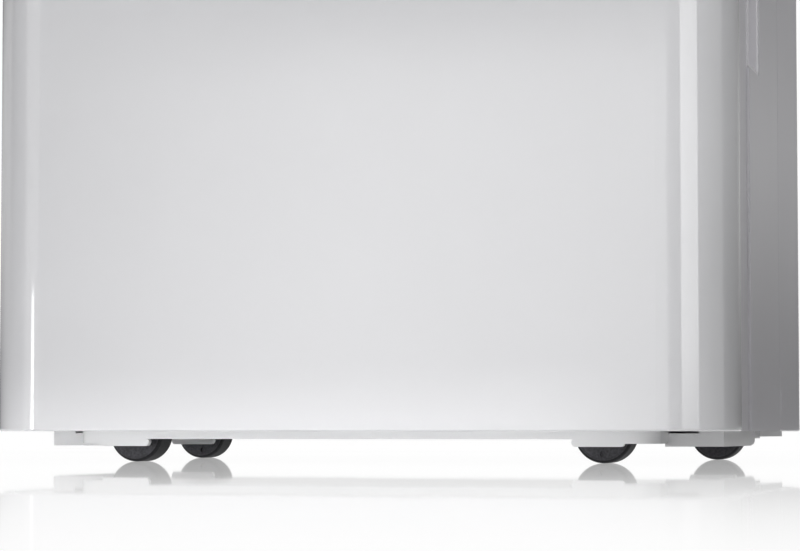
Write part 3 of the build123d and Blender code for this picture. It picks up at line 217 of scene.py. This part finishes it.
# %% List of plastics
finishes = {}
for name, *choices in (
    # Name, colour, drift, roughness, grain and depth in millimetres, share of clear coat
    ("gloss_white", (0.695, 0.695, 0.712), 0.006, 0.06, 30.0, 0.004, 0.4),
    ("satin_white", (0.69, 0.682, 0.712), 0.008, 0.34, 0.7, 0.02),
    # The base's white is paler than the shells' partly as painted light for the shade it lies in.
    ("base_white", (0.93, 0.93, 0.938), 0.012, 0.24, 0.7, 0.02),
    # The holds' paler white is painted light for their shaded walls.
    ("hold_white", (0.83, 0.82, 0.85), 0.012, 0.30, 0.7, 0.02),
    ("button_white", (0.70, 0.71, 0.73), 0.012, 0.38, 0.6, 0.02),
    ("fascia_grey", (0.34, 0.36, 0.39), 0.01, 0.25, 0.6, 0.02),
    ("inner_grey", (0.32, 0.33, 0.35), 0.04, 0.45, 0.8, 0.04),
    ("filter_grey", (0.11, 0.115, 0.125), 0.06, 0.45, 0.7, 0.03),
    ("display_black", (0.010, 0.011, 0.013), 0.10, 0.08, 10.0, 0.01, 0.5),
    ("black_plastic", (0.014, 0.014, 0.016), 0.15, 0.42, 0.8, 0.05),
    ("motor_black", (0.012, 0.012, 0.013), 0.12, 0.30, 1.8, 0.08),
    ("black_rubber", (0.016, 0.016, 0.017), 0.20, 0.62, 1.0, 0.08),
    ("tank_plastic", (0.60, 0.65, 0.71), 0.01, 0.30, 0.8, 0.03),
    ("float_foam", (0.78, 0.77, 0.70), 0.03, 0.80, 1.5, 0.25),
    ("board_green", (0.020, 0.10, 0.045), 0.10, 0.30, 1.2, 0.04),
    ("sign_ink", (0.10, 0.11, 0.13), 0.10, 0.50, 0.4, 0.01),
):
    finishes[name] = moulded(name, *choices)
print("Moulded finishes:", len(finishes))

# %% [markdown]
# ### Rollers
# The rollers are a hard charcoal plastic. Their cheeks keep the coarse grain of the mould, which catches
# the light as specks, while the tread is rubbed dull. The tread is also painted darker than the cheeks,
# as painted shade for the tread, which the light reaches less. One finish can hold both, because the
# cheeks face along the axle and the tread faces away from it: the share of the surface's own direction
# along Y tells them apart however far the roller has turned.

# %% Roller plastic
speck, speck_detail, speck_depth = 1.1 * mm, 3.0, 0.2 * mm
cheek_dark, cheek_light = (0.054, 0.054, 0.059), (0.096, 0.094, 0.104)
# The tread's darker colours are painted shade.
shaded_tread_dark, shaded_tread_pale = (0.018, 0.018, 0.020), (0.030, 0.030, 0.033)
cheek_roughness, tread_roughness = 0.5, 0.7
tread_ends, cheek_starts = 0.75, 0.97
dull_shine = 0.2

material, tree, shader, place = new_finish("wheel_grey")
direction = tree.nodes["Texture Coordinate"].outputs["Normal"]
along_axle = combine(tree, "ABSOLUTE", along(tree, direction, "Y"))
cheek = spread(tree, along_axle, 0.0, 1.0, tread_ends, cheek_starts)
specks = noise_at(tree, place, speck, speck_detail)
shade = add_node(tree, "ShaderNodeMix", data_type="RGBA")
tree.links.new(cheek, shade.inputs[0])
# Where the surface faces away from the axle, the tread takes its painted shade.
tree.links.new(two_tone(tree, specks, shaded_tread_dark, shaded_tread_pale), shade.inputs[6])
tree.links.new(two_tone(tree, specks, cheek_dark, cheek_light), shade.inputs[7])
tree.links.new(shade.outputs[2], shader.inputs["Base Color"])
polish = spread(tree, cheek, tread_roughness, cheek_roughness, 0.0, 1.0)
tree.links.new(polish, shader.inputs["Roughness"])
shader.inputs["Specular IOR Level"].default_value = dull_shine
raise_surface(tree, shader, combine(tree, "MULTIPLY", specks, cheek), speck_depth)
finishes["wheel_grey"] = material
print("Speck size in millimetres:", round(speck / mm, 2))

# %% [markdown]
# ### Metals
# The axles and the fan shaft are turned steel, the pipes drawn copper, and the coils stacks of thin
# aluminium fins on a fixed pitch. Each is a bare metal whose shade drifts with handling; what tells them
# apart is the fine lining that their making leaves, so every metal here takes an axis and a pitch for its
# lines. The fins could be thousands of real sheets, but behind a filter only their even dark-and-light beat
# can be made out. The dark of that beat is painted shade for the deep gaps between the fins; the other
# metals keep their full colour between their lines.

# %% Bare metals
stain_lump, stain_detail = 20 * mm, 4.0
rub_lump, rub_swing = 10 * mm, 0.2
gap_edge, line_edge = 0.1, 0.5


def bare_metal(name, colour, drift, roughness, axis, pitch, depth, painted_gap_shade):
    """Metal lined across an axis, pitch and depth in millimetres. The colour left between lines is painted
    shade.
    """
    material, tree, shader, place = new_finish(name)
    lines = stripes(tree, place, axis, pitch * mm)
    shade = drifting_colour(tree, place, colour, drift, stain_lump, stain_detail)
    lined = scaled(tree, shade, spread(tree, lines, painted_gap_shade, 1.0, gap_edge, line_edge))
    tree.links.new(lined, shader.inputs["Base Color"])
    tree.links.new(varied(tree, place, roughness, rub_swing, rub_lump), shader.inputs["Roughness"])
    shader.inputs["Metallic"].default_value = 1.0
    raise_surface(tree, shader, lines, depth * mm)
    return material


for name, *choices in (
    # Name, colour, drift, roughness, axis of the lines, pitch and depth in millimetres, painted shade in the
    # gaps
    ("steel", (0.58, 0.58, 0.59), 0.06, 0.30, "Y", 0.4, 0.004, 1.0),
    ("copper", (0.74, 0.38, 0.24), 0.14, 0.30, "Z", 0.5, 0.003, 1.0),
    # The fins' gap share of 0.25 is painted shade between the fins.
    ("fin_aluminium", (0.72, 0.73, 0.75), 0.05, 0.35, "X", 1.8, 0.4, 0.25),
    ("capacitor_can", (0.66, 0.67, 0.69), 0.05, 0.32, "Z", 0.6, 0.004, 1.0),
):
    finishes[name] = bare_metal(name, *choices)
    print("Metal:", name)

# %% [markdown]
# ### Net
# The filter is a woven net: threads across and threads up, with small gaps between them. Real threads would
# need a mesh of many thousand faces that nobody sees singly, so the height of the net is the larger of two
# sets of stripes, and the gaps are simply dark.

# %% Filter net
thread_pitch, thread_depth = 1.6 * mm, 0.4 * mm
gap_shade, thread_shade = (0.006, 0.006, 0.007), (0.09, 0.095, 0.105)
net_lump, net_smooth, net_rough = 4 * mm, 0.45, 0.65

material, tree, shader, place = new_finish("filter_mesh")
weave = combine(tree, "MAXIMUM", *[stripes(tree, place, axis, thread_pitch) for axis in "XZ"])
tree.links.new(two_tone(tree, weave, gap_shade, thread_shade), shader.inputs["Base Color"])
polish = spread(tree, noise_at(tree, place, net_lump), net_smooth, net_rough)
tree.links.new(polish, shader.inputs["Roughness"])
raise_surface(tree, shader, weave, thread_depth)
finishes["filter_mesh"] = material
print("Threads per decimetre:", round(0.1 / thread_pitch, 1))

# %% [markdown]
# ### Gauge
# The strip in the tank is clear acrylic, through which the water level would show. It is nearly polished,
# with a faint wave from the mould, and it lets most of the light through with the bending of acrylic. A
# plain see-through mix would be quicker, but would lose the bright edges that make it read as clear.

# %% Clear gauge
acrylic_bending, acrylic_clearness = 1.49, 0.7
gauge_deep, gauge_pale = (0.62, 0.74, 0.82), (0.72, 0.82, 0.88)
tint_lump, haze_lump = 20 * mm, 3 * mm
gauge_smooth, gauge_rough = 0.04, 0.12
wave_lump, wave_depth = 6 * mm, 0.02 * mm

material, tree, shader, place = new_finish("gauge_clear")
tint = two_tone(tree, noise_at(tree, place, tint_lump), gauge_deep, gauge_pale)
tree.links.new(tint, shader.inputs["Base Color"])
haze = spread(tree, noise_at(tree, place, haze_lump), gauge_smooth, gauge_rough)
tree.links.new(haze, shader.inputs["Roughness"])
shader.inputs["Transmission Weight"].default_value = acrylic_clearness
shader.inputs["IOR"].default_value = acrylic_bending
raise_surface(tree, shader, noise_at(tree, place, wave_lump), wave_depth)
finishes["gauge_clear"] = material
print("Gauge clearness:", acrylic_clearness)

# %% [markdown]
# ### Light guides
# Each key has a small light guide just behind it on the fascia, lit softly from below. A real lamp under a
# clear rod would be slow to render for so small a piece; here the guide has a faint glow of its own colour.

# %% Lamp guides
guide_dim, guide_bright = (0.10, 0.42, 0.16), (0.20, 0.60, 0.26)
guide_lump, guide_glow = 1 * mm, 0.35
guide_rub_lump, guide_smooth, guide_rough = 2 * mm, 0.15, 0.30

material, tree, shader, place = new_finish("lamp_green")
glow = two_tone(tree, noise_at(tree, place, guide_lump), guide_dim, guide_bright)
tree.links.new(glow, shader.inputs["Base Color"])
tree.links.new(glow, shader.inputs["Emission Color"])
shader.inputs["Emission Strength"].default_value = guide_glow
polish = spread(tree, noise_at(tree, place, guide_rub_lump), guide_smooth, guide_rough)
tree.links.new(polish, shader.inputs["Roughness"])
finishes["lamp_green"] = material
print("Finishes in all:", len(finishes))

# %% [markdown]
# ## Dressing the solids
# The record says which finish each solid takes, so one loop dresses them all, and a slot without a finish
# would stop the loop by its name. Only the hand holds depart from it: they are separate cups of a paler
# white than the panels round them, as the lower end of one shows in the picture. That paler white is
# painted light, which brightens the wall of each hold that sits in the shade of its recess.

# %% Dress the solids
for item in frame["record"]["subparts"]:
    mesh = nodes[item["node"]].data
    finish = "hold_white" if "hand_hold" in item["node"] else item["material_slot"]
    mesh.materials.clear()
    mesh.materials.append(finishes[finish])

# %% [markdown]
# ## Small fittings
# The pieces below are thin surfaces over a grid of two parameters. The whole grid is worked out as one
# array, and several copies of a fitting, such as screws, are stacked in front of the grid as one more
# dimension. A modelling session with bevels would do as well for one screw; a formula makes all of them
# alike.

# %% Surfaces from grids
def surface(name, grids, finish, body, closed=False):
    """A mesh from point grids (copies, rows, columns, 3). Closed joins the last column to the first."""
    copies, rows, columns = grids.shape[:3]
    across = columns if closed else columns - 1
    index = np.arange(copies * rows * columns).reshape(copies, rows, columns)
    beside = np.roll(index, -1, axis=2)
    square = [index[:, :-1], beside[:, :-1], beside[:, 1:], index[:, 1:]]
    faces = np.stack([corner[:, :, :across] for corner in square], axis=-1).reshape(-1, 4)
    mesh = bpy.data.meshes.new(name)
    mesh.from_pydata(grids.reshape(-1, 3), [], faces.tolist())
    mesh.polygons.foreach_set("use_smooth", np.ones(len(faces), bool))
    mesh.materials.append(finishes[finish])
    made = bpy.data.objects.new(name, mesh)
    bpy.context.scene.collection.objects.link(made)
    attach(made, body)
    print(name, "has", len(faces), "faces on", body)
    return made


rear_low, rear_high = np.array(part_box("rear_cover"))
print("Back of the rear cover at y =", round(rear_high[1], 4))

# %% [markdown]
# ### Screws
# Six pan-head screws hold the rear cover. A head is a low dome with a cross driven into it. Over polar
# coordinates the dome is a function of the radius alone, and the cross is a smooth pit wherever the point
# is close to one of two crossed lines and not too far from the middle.

# %% Screw heads
# Shares of the head's radius and, for the depth, of its height
arm_edge, arm_outside = 0.10, 0.18
arm_end, arm_beyond = 0.50, 0.62
cross_depth = 0.8


def ramp_between(value, start, stop):
    """A smooth step from 0 at start to 1 at stop, for whole arrays."""
    share = np.clip((value - start) / (stop - start), 0, 1)
    return share * share * (3 - 2 * share)


def screw_head(radius, height, rings=26, spokes=64):
    """Points (across, up, out): height times one minus the fourth power of the radius, less a cross pit."""
    angles = np.linspace(0, 2 * pi, spokes, endpoint=False)
    share, angle = np.meshgrid(np.linspace(0, 1, rings), angles, indexing="ij")
    across = radius * share * np.cos(angle)
    up = radius * share * np.sin(angle)
    off_line = np.minimum(np.abs(across), np.abs(up)) / radius
    within = 1 - ramp_between(share, arm_end, arm_beyond)
    cross = (1 - ramp_between(off_line, arm_edge, arm_outside)) * within
    return np.stack([across, up, height * (1 - share**4 - cross_depth * cross)], axis=-1)


head_radius, head_height = 3.4 * mm, 1.3 * mm
head = screw_head(head_radius, head_height)
print("Points in one screw head:", head.shape[0] * head.shape[1])

# %% [markdown]
# The screws stand in the margin between the grille and the cover's edge, at three heights on both sides.
# Their places come from the boxes of those two solids, so they follow the cover.

# %% Place the screws
grille_low, grille_high = np.array(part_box("intake_grille"))
inwards, from_bottom, above_middle, from_top = 3 * mm, 22 * mm, 85 * mm, 16 * mm
screw_x = (grille_high[0] + rear_high[0]) / 2 - inwards
middle_z = (grille_low[2] + rear_low[2]) / 2 + above_middle
screw_z = [rear_low[2] + from_bottom, middle_z, rear_high[2] - from_top]
side, level = [grid.ravel() for grid in np.meshgrid([-screw_x, screw_x], screw_z)]
screws = np.empty((len(side), *head.shape))
screws[..., 0] = side[:, None, None] - head[..., 0]
screws[..., 1] = rear_high[1] + head[..., 2]
screws[..., 2] = level[:, None, None] + head[..., 1]
surface("rear_screws", screws, "steel", "cabinet", closed=True)

# %% [markdown]
# ### Seam catches
# Low on each side, the rear cover snaps behind the side panel, and the catch shows as a small swelling on
# the seam. It is half of a long drop shape: a half circle across, scaled along its length by another half
# circle.

# %% Seam catches
catch_out, catch_half_width, catch_length = 0.9 * mm, 1.9 * mm, 13 * mm
catch_sunk, catch_above_edge = 0.1 * mm, 9 * mm
catch_rows, catch_columns = 25, 17
panel_low, panel_high = np.array(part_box("right_side_panel"))
sides = np.array([1, -1])

lengthwise, crosswise = np.linspace(0, 1, catch_rows), np.linspace(0, pi, catch_columns)
length, angle = np.meshgrid(lengthwise, crosswise, indexing="ij")
swell = np.sqrt(np.clip(1 - (2 * length - 1) ** 2, 0, 1))
out = catch_out * swell * np.sin(angle) - catch_sunk
catch = np.stack([out, catch_half_width * swell * np.cos(angle), catch_length * length], axis=-1)
catches = np.stack([catch * (flip, -flip, 1) for flip in sides])
catches[..., 0] += sides[:, None, None] * panel_high[0]
catches[..., 1] += panel_high[1]
catches[..., 2] += panel_low[2] + catch_above_edge
surface("seam_catches", catches, "satin_white", "cabinet")

# %% [markdown]
# ### Strokes of ink
# The keys and the tank carry plain marks printed in raised ink. Flat decals would need an image; here a
# mark is one or more strokes, and a stroke is a low ridge swept along a flat path. At each point of the
# path the ridge runs square to the path's direction, with a height that falls away evenly to both sides.

# %% Strokes
ink_height = 0.12 * mm


def stroke(path, width, columns=7):
    """A ridge on a flat path (across, up): ink height times one minus the fourth power of the offset."""
    direction = np.gradient(path, axis=0)
    direction /= np.linalg.norm(direction, axis=1, keepdims=True)
    square = np.stack([-direction[:, 1], direction[:, 0]], axis=-1)
    offset = np.linspace(-1, 1, columns)
    flat = path[:, None] + square[:, None] * offset[:, None] * width / 2
    lift = np.broadcast_to(ink_height * (1 - offset**4), flat.shape[:2])
    return np.concatenate([flat, lift[..., None]], axis=-1)


print("Ink stands", round(ink_height / mm, 2), "mm proud")

# %% [markdown]
# The signs need only four kinds of path: an arc, a straight bar, a drop for drying and a rose of three
# petals for the fan. Each is a formula of one parameter that runs from 0 to 1 along the path.

# %% Paths
path_points = 49
course = np.linspace(0, 1, path_points)[:, None]


def arc(radius, start, stop):
    """Points of a circle between two angles in turns."""
    angle = 2 * pi * (start + (stop - start) * course)
    return radius * np.hstack([np.cos(angle), np.sin(angle)])


def bar(start, stop):
    """Points of a straight line."""
    return np.array(start) + (np.array(stop) - np.array(start)) * course


def drop(size):
    """Points of a drop: a cosine up, and across a sine times the power one and a half of a half sine."""
    angle = 2 * pi * course
    return size * np.hstack([0.75 * np.sin(angle) * np.sin(angle / 2) ** 1.5, 0.9 * np.cos(angle)])


def petals(size):
    """Points of a rose of three petals: the radius is the cosine of three times the angle."""
    angle = pi * course
    return size * np.cos(3 * angle) * np.hstack([np.cos(angle), np.sin(angle)])


print("Points along a path:", path_points)

# %% [markdown]
# ### Signs on the keys
# Each key says what it does with a plain pictogram: a broken ring for power, a drop for drying, a rose for
# the fan, a clock for the timer, and arrowheads for drier and damper air. The paths are in millimetres from
# the middle of the key, and the key's own box puts them on its top.

# %% Key signs
sign_width, sign_sunk = 0.6 * mm, 0.01 * mm
signs = {
    "power": [arc(2.4, 0.33, 1.17), bar((0, 0.9), (0, 3.1))],
    "mode": [drop(2.9)],
    "fan": [petals(3.1)],
    "timer": [arc(2.6, 0, 1), bar((0, 0), (0, 1.6)), bar((0, 0), (1.2, 0))],
    "humidity_down": [bar((-2.4, 1.0), (0, -1.2)), bar((0, -1.2), (2.4, 1.0))],
    "humidity_up": [bar((-2.4, -1.0), (0, 1.2)), bar((0, 1.2), (2.4, -1.0))],
}
for key, paths in signs.items():
    key_low, key_high = np.array(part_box(f"{key}_button"))
    middle = (key_low + key_high) / 2
    ridges = np.stack([stroke(path * mm, sign_width) for path in paths])
    ridges += [middle[0], middle[1], key_high[2] - sign_sunk]
    surface(f"{key}_sign", ridges, "sign_ink", f"{key}_key")

# %% [markdown]
# ### Level marks
# Beside the clear strip of the tank, short printed bars mark the fill level, every fifth part of its
# height. They are strokes too, turned from the flat to the upright rear wall of the tank.

# %% Level marks
mark_count, mark_width = 6, 0.8 * mm
end_mark, inner_mark = 9 * mm, 6 * mm
mark_gap, mark_margin = 4 * mm, 8 * mm
gauge_low, gauge_high = np.array(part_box("level_gauge"))
tank_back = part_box("water_tank")[1][1]

heights = np.linspace(gauge_low[2] + mark_margin, gauge_high[2] - mark_margin, mark_count)
lengths = [end_mark, *[inner_mark] * (mark_count - 2), end_mark]
marks = np.stack([stroke(bar((0, 0), (length, 0)), mark_width) for length in lengths])
mark_x = gauge_high[0] + mark_gap + marks[..., 0]
mark_z = heights[:, None, None] - marks[..., 1]
upright = np.stack([mark_x, tank_back + marks[..., 2], mark_z], axis=-1)
surface("level_marks", upright, "sign_ink", "tank")

# %% [markdown]
# ## The studio
# The picture was taken on a white glossy table with the lens at the height of the cabinet's lower edge. The
# floor here is one large flat sheet, and its finish, in three steps, does the rest.

# %% Floor sheet
reach = 30.0
floor_mesh = bpy.data.meshes.new("floor")
floor_mesh.from_pydata(
    [(-reach, -reach, 0), (reach, -reach, 0), (reach, reach, 0), (-reach, reach, 0)], [], [(0, 1, 2, 3)]
)
floor = bpy.data.objects.new("floor", floor_mesh)
bpy.context.scene.collection.objects.link(floor)
print("Floor reaches", reach, "m each way")

# %% [markdown]
# The first step is plain white paint, which takes the object's shadow. In the picture the side panel gets
# darker towards its foot, and a dark cloth on the table to the right of it, outside the picture, would do
# that. A real cloth would show in other views, so instead the paint there is painted dark for every ray but
# those of the lens: painted shade on the floor, which keeps the floor's light off the panel's foot.

# %% Floor paint
# Beyond these distances along X the floor paint is painted dark: painted shade on the floor.
floor_shade_start, floor_shade_full, floor_shade_level = 0.18, 0.32, 0.10
paint_dark, paint_light = (0.89, 0.89, 0.89), (0.91, 0.91, 0.91)
paint_lump = 0.3

floor_finish, tree, shader, place = new_finish("white_floor")
tree.nodes.remove(shader)
# Painted floor shade: full paint up to the start, the shade level beyond the full distance.
painted_floor_shade = spread(tree, along(tree, place, "X"), 1.0, floor_shade_level, floor_shade_start, floor_shade_full)
lens = tree.nodes.new("ShaderNodeLightPath").outputs["Is Camera Ray"]
# Every ray but those of the lens sees the painted floor shade.
unshaded_floor_share = combine(tree, "MAXIMUM", lens, painted_floor_shade)
paint_shade = two_tone(tree, noise_at(tree, place, paint_lump), paint_dark, paint_light)
paint = tree.nodes.new("ShaderNodeBsdfDiffuse")
tree.links.new(scaled(tree, paint_shade, unshaded_floor_share), paint.inputs["Color"])
print("Dark beside the object from x =", floor_shade_start, "to", floor_shade_full)

# %% [markdown]
# The second step is the even white of a catalogue picture: a little way off, the paint runs out to pure
# white, so no horizon shows. Stronger lamps would do that too, but would bleach the object. A white that
# only the lens, mirrors and glass see adds no light to dull surfaces.

# %% Floor white
def seen_directly(tree):
    """1 for rays from the camera or a mirror or through glass, 0 for the rays that light things."""
    rays = tree.nodes.new("ShaderNodeLightPath")
    mirrored = combine(tree, "MAXIMUM", rays.outputs["Is Glossy Ray"], rays.outputs["Is Transmission Ray"])
    return combine(tree, "MAXIMUM", rays.outputs["Is Camera Ray"], mirrored)


white_near, white_far = 0.96, 1.0
white_start, white_full = 0.2, 0.6

white = tree.nodes.new("ShaderNodeEmission")
tree.links.new(unshaded_floor_share, white.inputs["Strength"])
away = add_node(tree, "ShaderNodeVectorMath", operation="LENGTH")
tree.links.new(place, away.inputs[0])
distance = away.outputs["Value"]
whiteness = spread(tree, distance, white_near, white_far, white_start, white_full)
ground = tree.nodes.new("ShaderNodeMixShader")
tree.links.new(combine(tree, "MULTIPLY", whiteness, seen_directly(tree)), ground.inputs[0])
tree.links.new(paint.outputs[0], ground.inputs[1])
tree.links.new(white.outputs[0], ground.inputs[2])
print("All white from", white_full, "m off")

# %% [markdown]
# The third step is a clear film that mirrors the rollers and the lower edge. A polished table mirrors more
# the flatter one looks at it. The square of Fresnel's share keeps that for the lens near the floor and
# takes most of it away from views from above, and a fade with distance lets the mirror end where the white
# begins.

# %% Floor film
film_bending, film_power = 1.35, 2.0
film_colour = (0.98, 0.98, 0.98, 1.0)
film_share, film_fades, film_ends = 0.75, 0.30, 1.10
film_lump, film_smooth, film_rough = 50 * mm, 0.02, 0.03

film = tree.nodes.new("ShaderNodeBsdfGlossy")
film.inputs["Color"].default_value = film_colour
polish = spread(tree, noise_at(tree, place, film_lump), film_smooth, film_rough)
tree.links.new(polish, film.inputs["Roughness"])
slant = tree.nodes.new("ShaderNodeFresnel")
slant.inputs["IOR"].default_value = film_bending
flat_view = combine(tree, "POWER", slant.outputs[0], film_power)
near = spread(tree, distance, film_share, 0.0, film_fades, film_ends)
coated = tree.nodes.new("ShaderNodeMixShader")
tree.links.new(combine(tree, "MULTIPLY", flat_view, near), coated.inputs[0])
tree.links.new(ground.outputs[0], coated.inputs[1])
tree.links.new(film.outputs[0], coated.inputs[2])
tree.links.new(coated.outputs[0], tree.nodes["Material Output"].inputs["Surface"])
floor_mesh.materials.append(floor_finish)
print("Floor mirror at most", film_share)

# %% [markdown]
# The room beyond is white to the lens and to every mirror, and a quiet grey to everything else, so the white
# background adds no light to dull surfaces.

# %% World
room_light = 0.20
world = bpy.data.worlds.new("studio")
bpy.context.scene.world = world
world.use_nodes = True
tree = world.node_tree
background = tree.nodes["Background"]
background.inputs["Color"].default_value = (1, 1, 1, 1)
tree.links.new(spread(tree, seen_directly(tree), room_light, 1.0, 0.0, 1.0), background.inputs["Strength"])
print("World lights at", room_light)

# %% [markdown]
# ## Lamps
# A glossy white cover is drawn by what it mirrors, and a satin one by where its light comes from. Reading
# the picture backwards gives the set. A wide box above lights everything softly, one on the right is aimed
# at the upper part of the side panel, and one behind lights the back for other views. Two more work close
# to the object: a box over the floor in front, which shines back on the lower front, and a thin and so very
# bright strip just above the floor, aimed low at the base and its rollers.

# %% Soft boxes
def soft_box(name, place, aim, size, brightness, beam, mirrored):
    """An area lamp aimed at a point, its beam in degrees. Any beam has that brightness along the aim."""
    width, height = size
    half_beam = radians(beam) / 2
    gathered = tan(half_beam) / (tan(half_beam) - half_beam)
    lamp = bpy.data.lights.new(name, "AREA")
    lamp.shape = "RECTANGLE"
    lamp.size, lamp.size_y = width, height
    lamp.spread = 2 * half_beam
    lamp.energy = brightness / gathered * pi * width * height
    light = bpy.data.objects.new(name, lamp)
    bpy.context.scene.collection.objects.link(light)
    x, y, z = np.array(aim) - np.array(place)
    light.location = place
    light.rotation_euler = (atan2(hypot(x, y), -z), 0, atan2(-x, y))
    light.visible_camera = False
    light.visible_glossy = mirrored
    print(name, "of", size, "m gives", round(lamp.energy, 2), "W")


for name, *choices in (
    # Name, place and aim in metres, width and height, brightness, beam in degrees, whether mirrors show it
    ("top_box", (-0.70, -0.80, 2.4), (-0.3, -0.35, 0.0), (2.2, 2.2), 2.2, 180, True),
    ("side_box", (1.50, -0.50, 1.0), (0.19, 0.0, 0.45), (0.5, 0.5), 9.5, 30, False),
    ("back_box", (-0.5, 2.4, 1.5), (0.0, 0.12, 0.3), (2.0, 1.6), 3.0, 180, False),
    ("floor_box", (0.05, -0.34, 0.60), (0.05, -0.34, 0.0), (0.46, 0.36), 39.0, 30, False),
    ("base_strip", (-0.045, -0.75, 0.014), (-0.045, -0.12, -0.016), (0.35, 0.012), 685.0, 12, False),
):
    soft_box(name, *choices)

# %% [markdown]
# The thin bright line low on the left corner is the mirror image of a narrow lamp standing far to the left.
# Its beam is narrow as well, because with a wide one the flat front showed the lamp as a bright square in
# other views.

# %% Left strip
strip_place, strip_aim = (-1.08, -1.30, 0.09), (-0.16, -0.124, 0.09)
strip_size, strip_brightness, strip_beam = (0.07, 0.17), 11.0, 24
soft_box("left_strip", strip_place, strip_aim, strip_size, strip_brightness, strip_beam, mirrored=True)

# %% [markdown]
# ## Cards
# The broad soft shades on the front and on the corners are mirror images of cards, which glow evenly round
# one height and fade above and below it. A lamp's face has hard edges all round; a card's glow is a formula
# of the height, and if need be of the place along the card, so each edge is as soft as it should be. The
# first card stands in front, and its soft upper edge is the darkening towards the top of the picture.

# %% Lit cards
def lit_paper(name, bright, dim, middle, even, fade, ends=None):
    """Paper, bright up to the even height off the middle, then fading to dim. It fades in between X ends."""
    material, tree, shader, place = new_finish(name)
    tree.nodes.remove(shader)
    height_off = combine(tree, "ABSOLUTE", combine(tree, "SUBTRACT", along(tree, place, "Z"), middle))
    glow = spread(tree, height_off, bright, dim, even, even + fade)
    if ends:
        glow = combine(tree, "MULTIPLY", glow, spread(tree, along(tree, place, "X"), 0.0, 1.0, *ends))
    lit = tree.nodes.new("ShaderNodeEmission")
    tree.links.new(glow, lit.inputs["Strength"])
    tree.links.new(lit.outputs[0], tree.nodes["Material Output"].inputs["Surface"])
    return material


def upright_card(name, start, stop, heights, finish, mirrored=True):
    """A card between two points on plan and two heights. The lens never sees it."""
    low, high = heights
    mesh = bpy.data.meshes.new(name)
    mesh.from_pydata([(*start, low), (*stop, low), (*stop, high), (*start, high)], [], [(0, 1, 2, 3)])
    mesh.materials.append(finish)
    card = bpy.data.objects.new(name, mesh)
    bpy.context.scene.collection.objects.link(card)
    card.visible_camera = False
    card.visible_glossy = mirrored
    print(name, "from", start, "to", stop)


# Brightness, dimmest, middle height, even height and fade, and where it fades in along X
front_paper = lit_paper("front_paper", 2.2, 0.0, 0.0, 0.51, 0.19, (-1.42, -0.62))
upright_card("front_card", (-1.55, -2.32), (0.50, -2.32), (0.0, 0.70), front_paper)

# %% [markdown]
# On the right, a bright card makes the strip on the corner, and one end of it makes the strip's crisp edge.
# Two dim cards further back are there for the side panel to mirror. A low dark cloth near the corner, which
# no mirror shows, keeps light off the corner's foot.

# %% Cards on the right
# Brightness, dimmest, middle height, even height and fade
right_paper = lit_paper("right_paper", 4.5, 0.2, 0.35, 0.16, 0.37)
side_paper = lit_paper("side_paper", 0.42, 0.08, 0.34, 0.0, 0.40)
rear_paper = lit_paper("rear_paper", 0.55, 0.08, 0.34, 0.0, 0.36)
flag_cloth = moulded("flag_cloth", (0.05, 0.05, 0.05), 0.1, 0.9, 2.0, 0.1)
upright_card("right_card", (1.20, -1.92), (1.92, -1.20), (0.0, 0.90), right_paper)
upright_card("side_card", (0.75, 1.60), (1.50, 0.30), (0.02, 0.75), side_paper)
upright_card("rear_card", (0.20, 1.75), (0.75, 1.60), (0.02, 0.75), rear_paper)
upright_card("low_flag", (0.28, -0.50), (0.60, -0.20), (0.02, 0.13), flag_cloth, mirrored=False)

# %% [markdown]
# On the left, two cards darken the rounded corner. The front one goes over from white at its front end to
# black, which is softer than the bare end of a black card. The rear one, grey round one height and black
# above and below it, keeps the outermost edge from going white.

# %% Cards on the left
# Brightness, dimmest, middle height, even height and fade, and where it fades in along X
flag_paper = lit_paper("flag_paper", 1.0, 1.0, 0.0, 0.6, 0.1, (-0.86, -0.95))
dim_paper = lit_paper("dim_paper", 0.55, 0.0, 0.24, 0.02, 0.20)
upright_card("left_flag", (-0.95, -0.80), (-0.70, -0.10), (0.01, 0.60), flag_paper)
upright_card("rear_flag", (-0.70, -0.10), (-0.75, 0.80), (0.01, 0.60), dim_paper)

# %% [markdown]
# ## Camera
# The upright edges in the picture stay parallel, so the lens was level and shifted. The place, the turn and
# the focal length come from fitting the four wheels and the lower corners. A small part of the shift is
# kept as a shift, and the rest is made by tilting the camera, which keeps other views of the object in
# frame.

# %% Camera
eye = (0.3505, -1.176, 0.01535)
heading = radians(16.8)
focal_px = 2310.0
picture_width_px = 800.0
horizon_drop_px = 156.0
shift_px = 50.0
tilt = atan2(horizon_drop_px - shift_px, focal_px)

camera_data = bpy.data.cameras.new("camera")
camera_data.sensor_width = 36.0
camera_data.lens = focal_px / picture_width_px * camera_data.sensor_width
camera_data.shift_y = shift_px / picture_width_px
camera_data.clip_start = 10 * mm
camera = bpy.data.objects.new("camera", camera_data)
bpy.context.scene.collection.objects.link(camera)
camera.location = eye
camera.rotation_euler = (radians(90) + tilt, 0, heading)
bpy.context.scene.camera = camera
bpy.context.scene.view_settings.view_transform = "Standard"
print("Lens in millimetres:", round(camera_data.lens, 1))
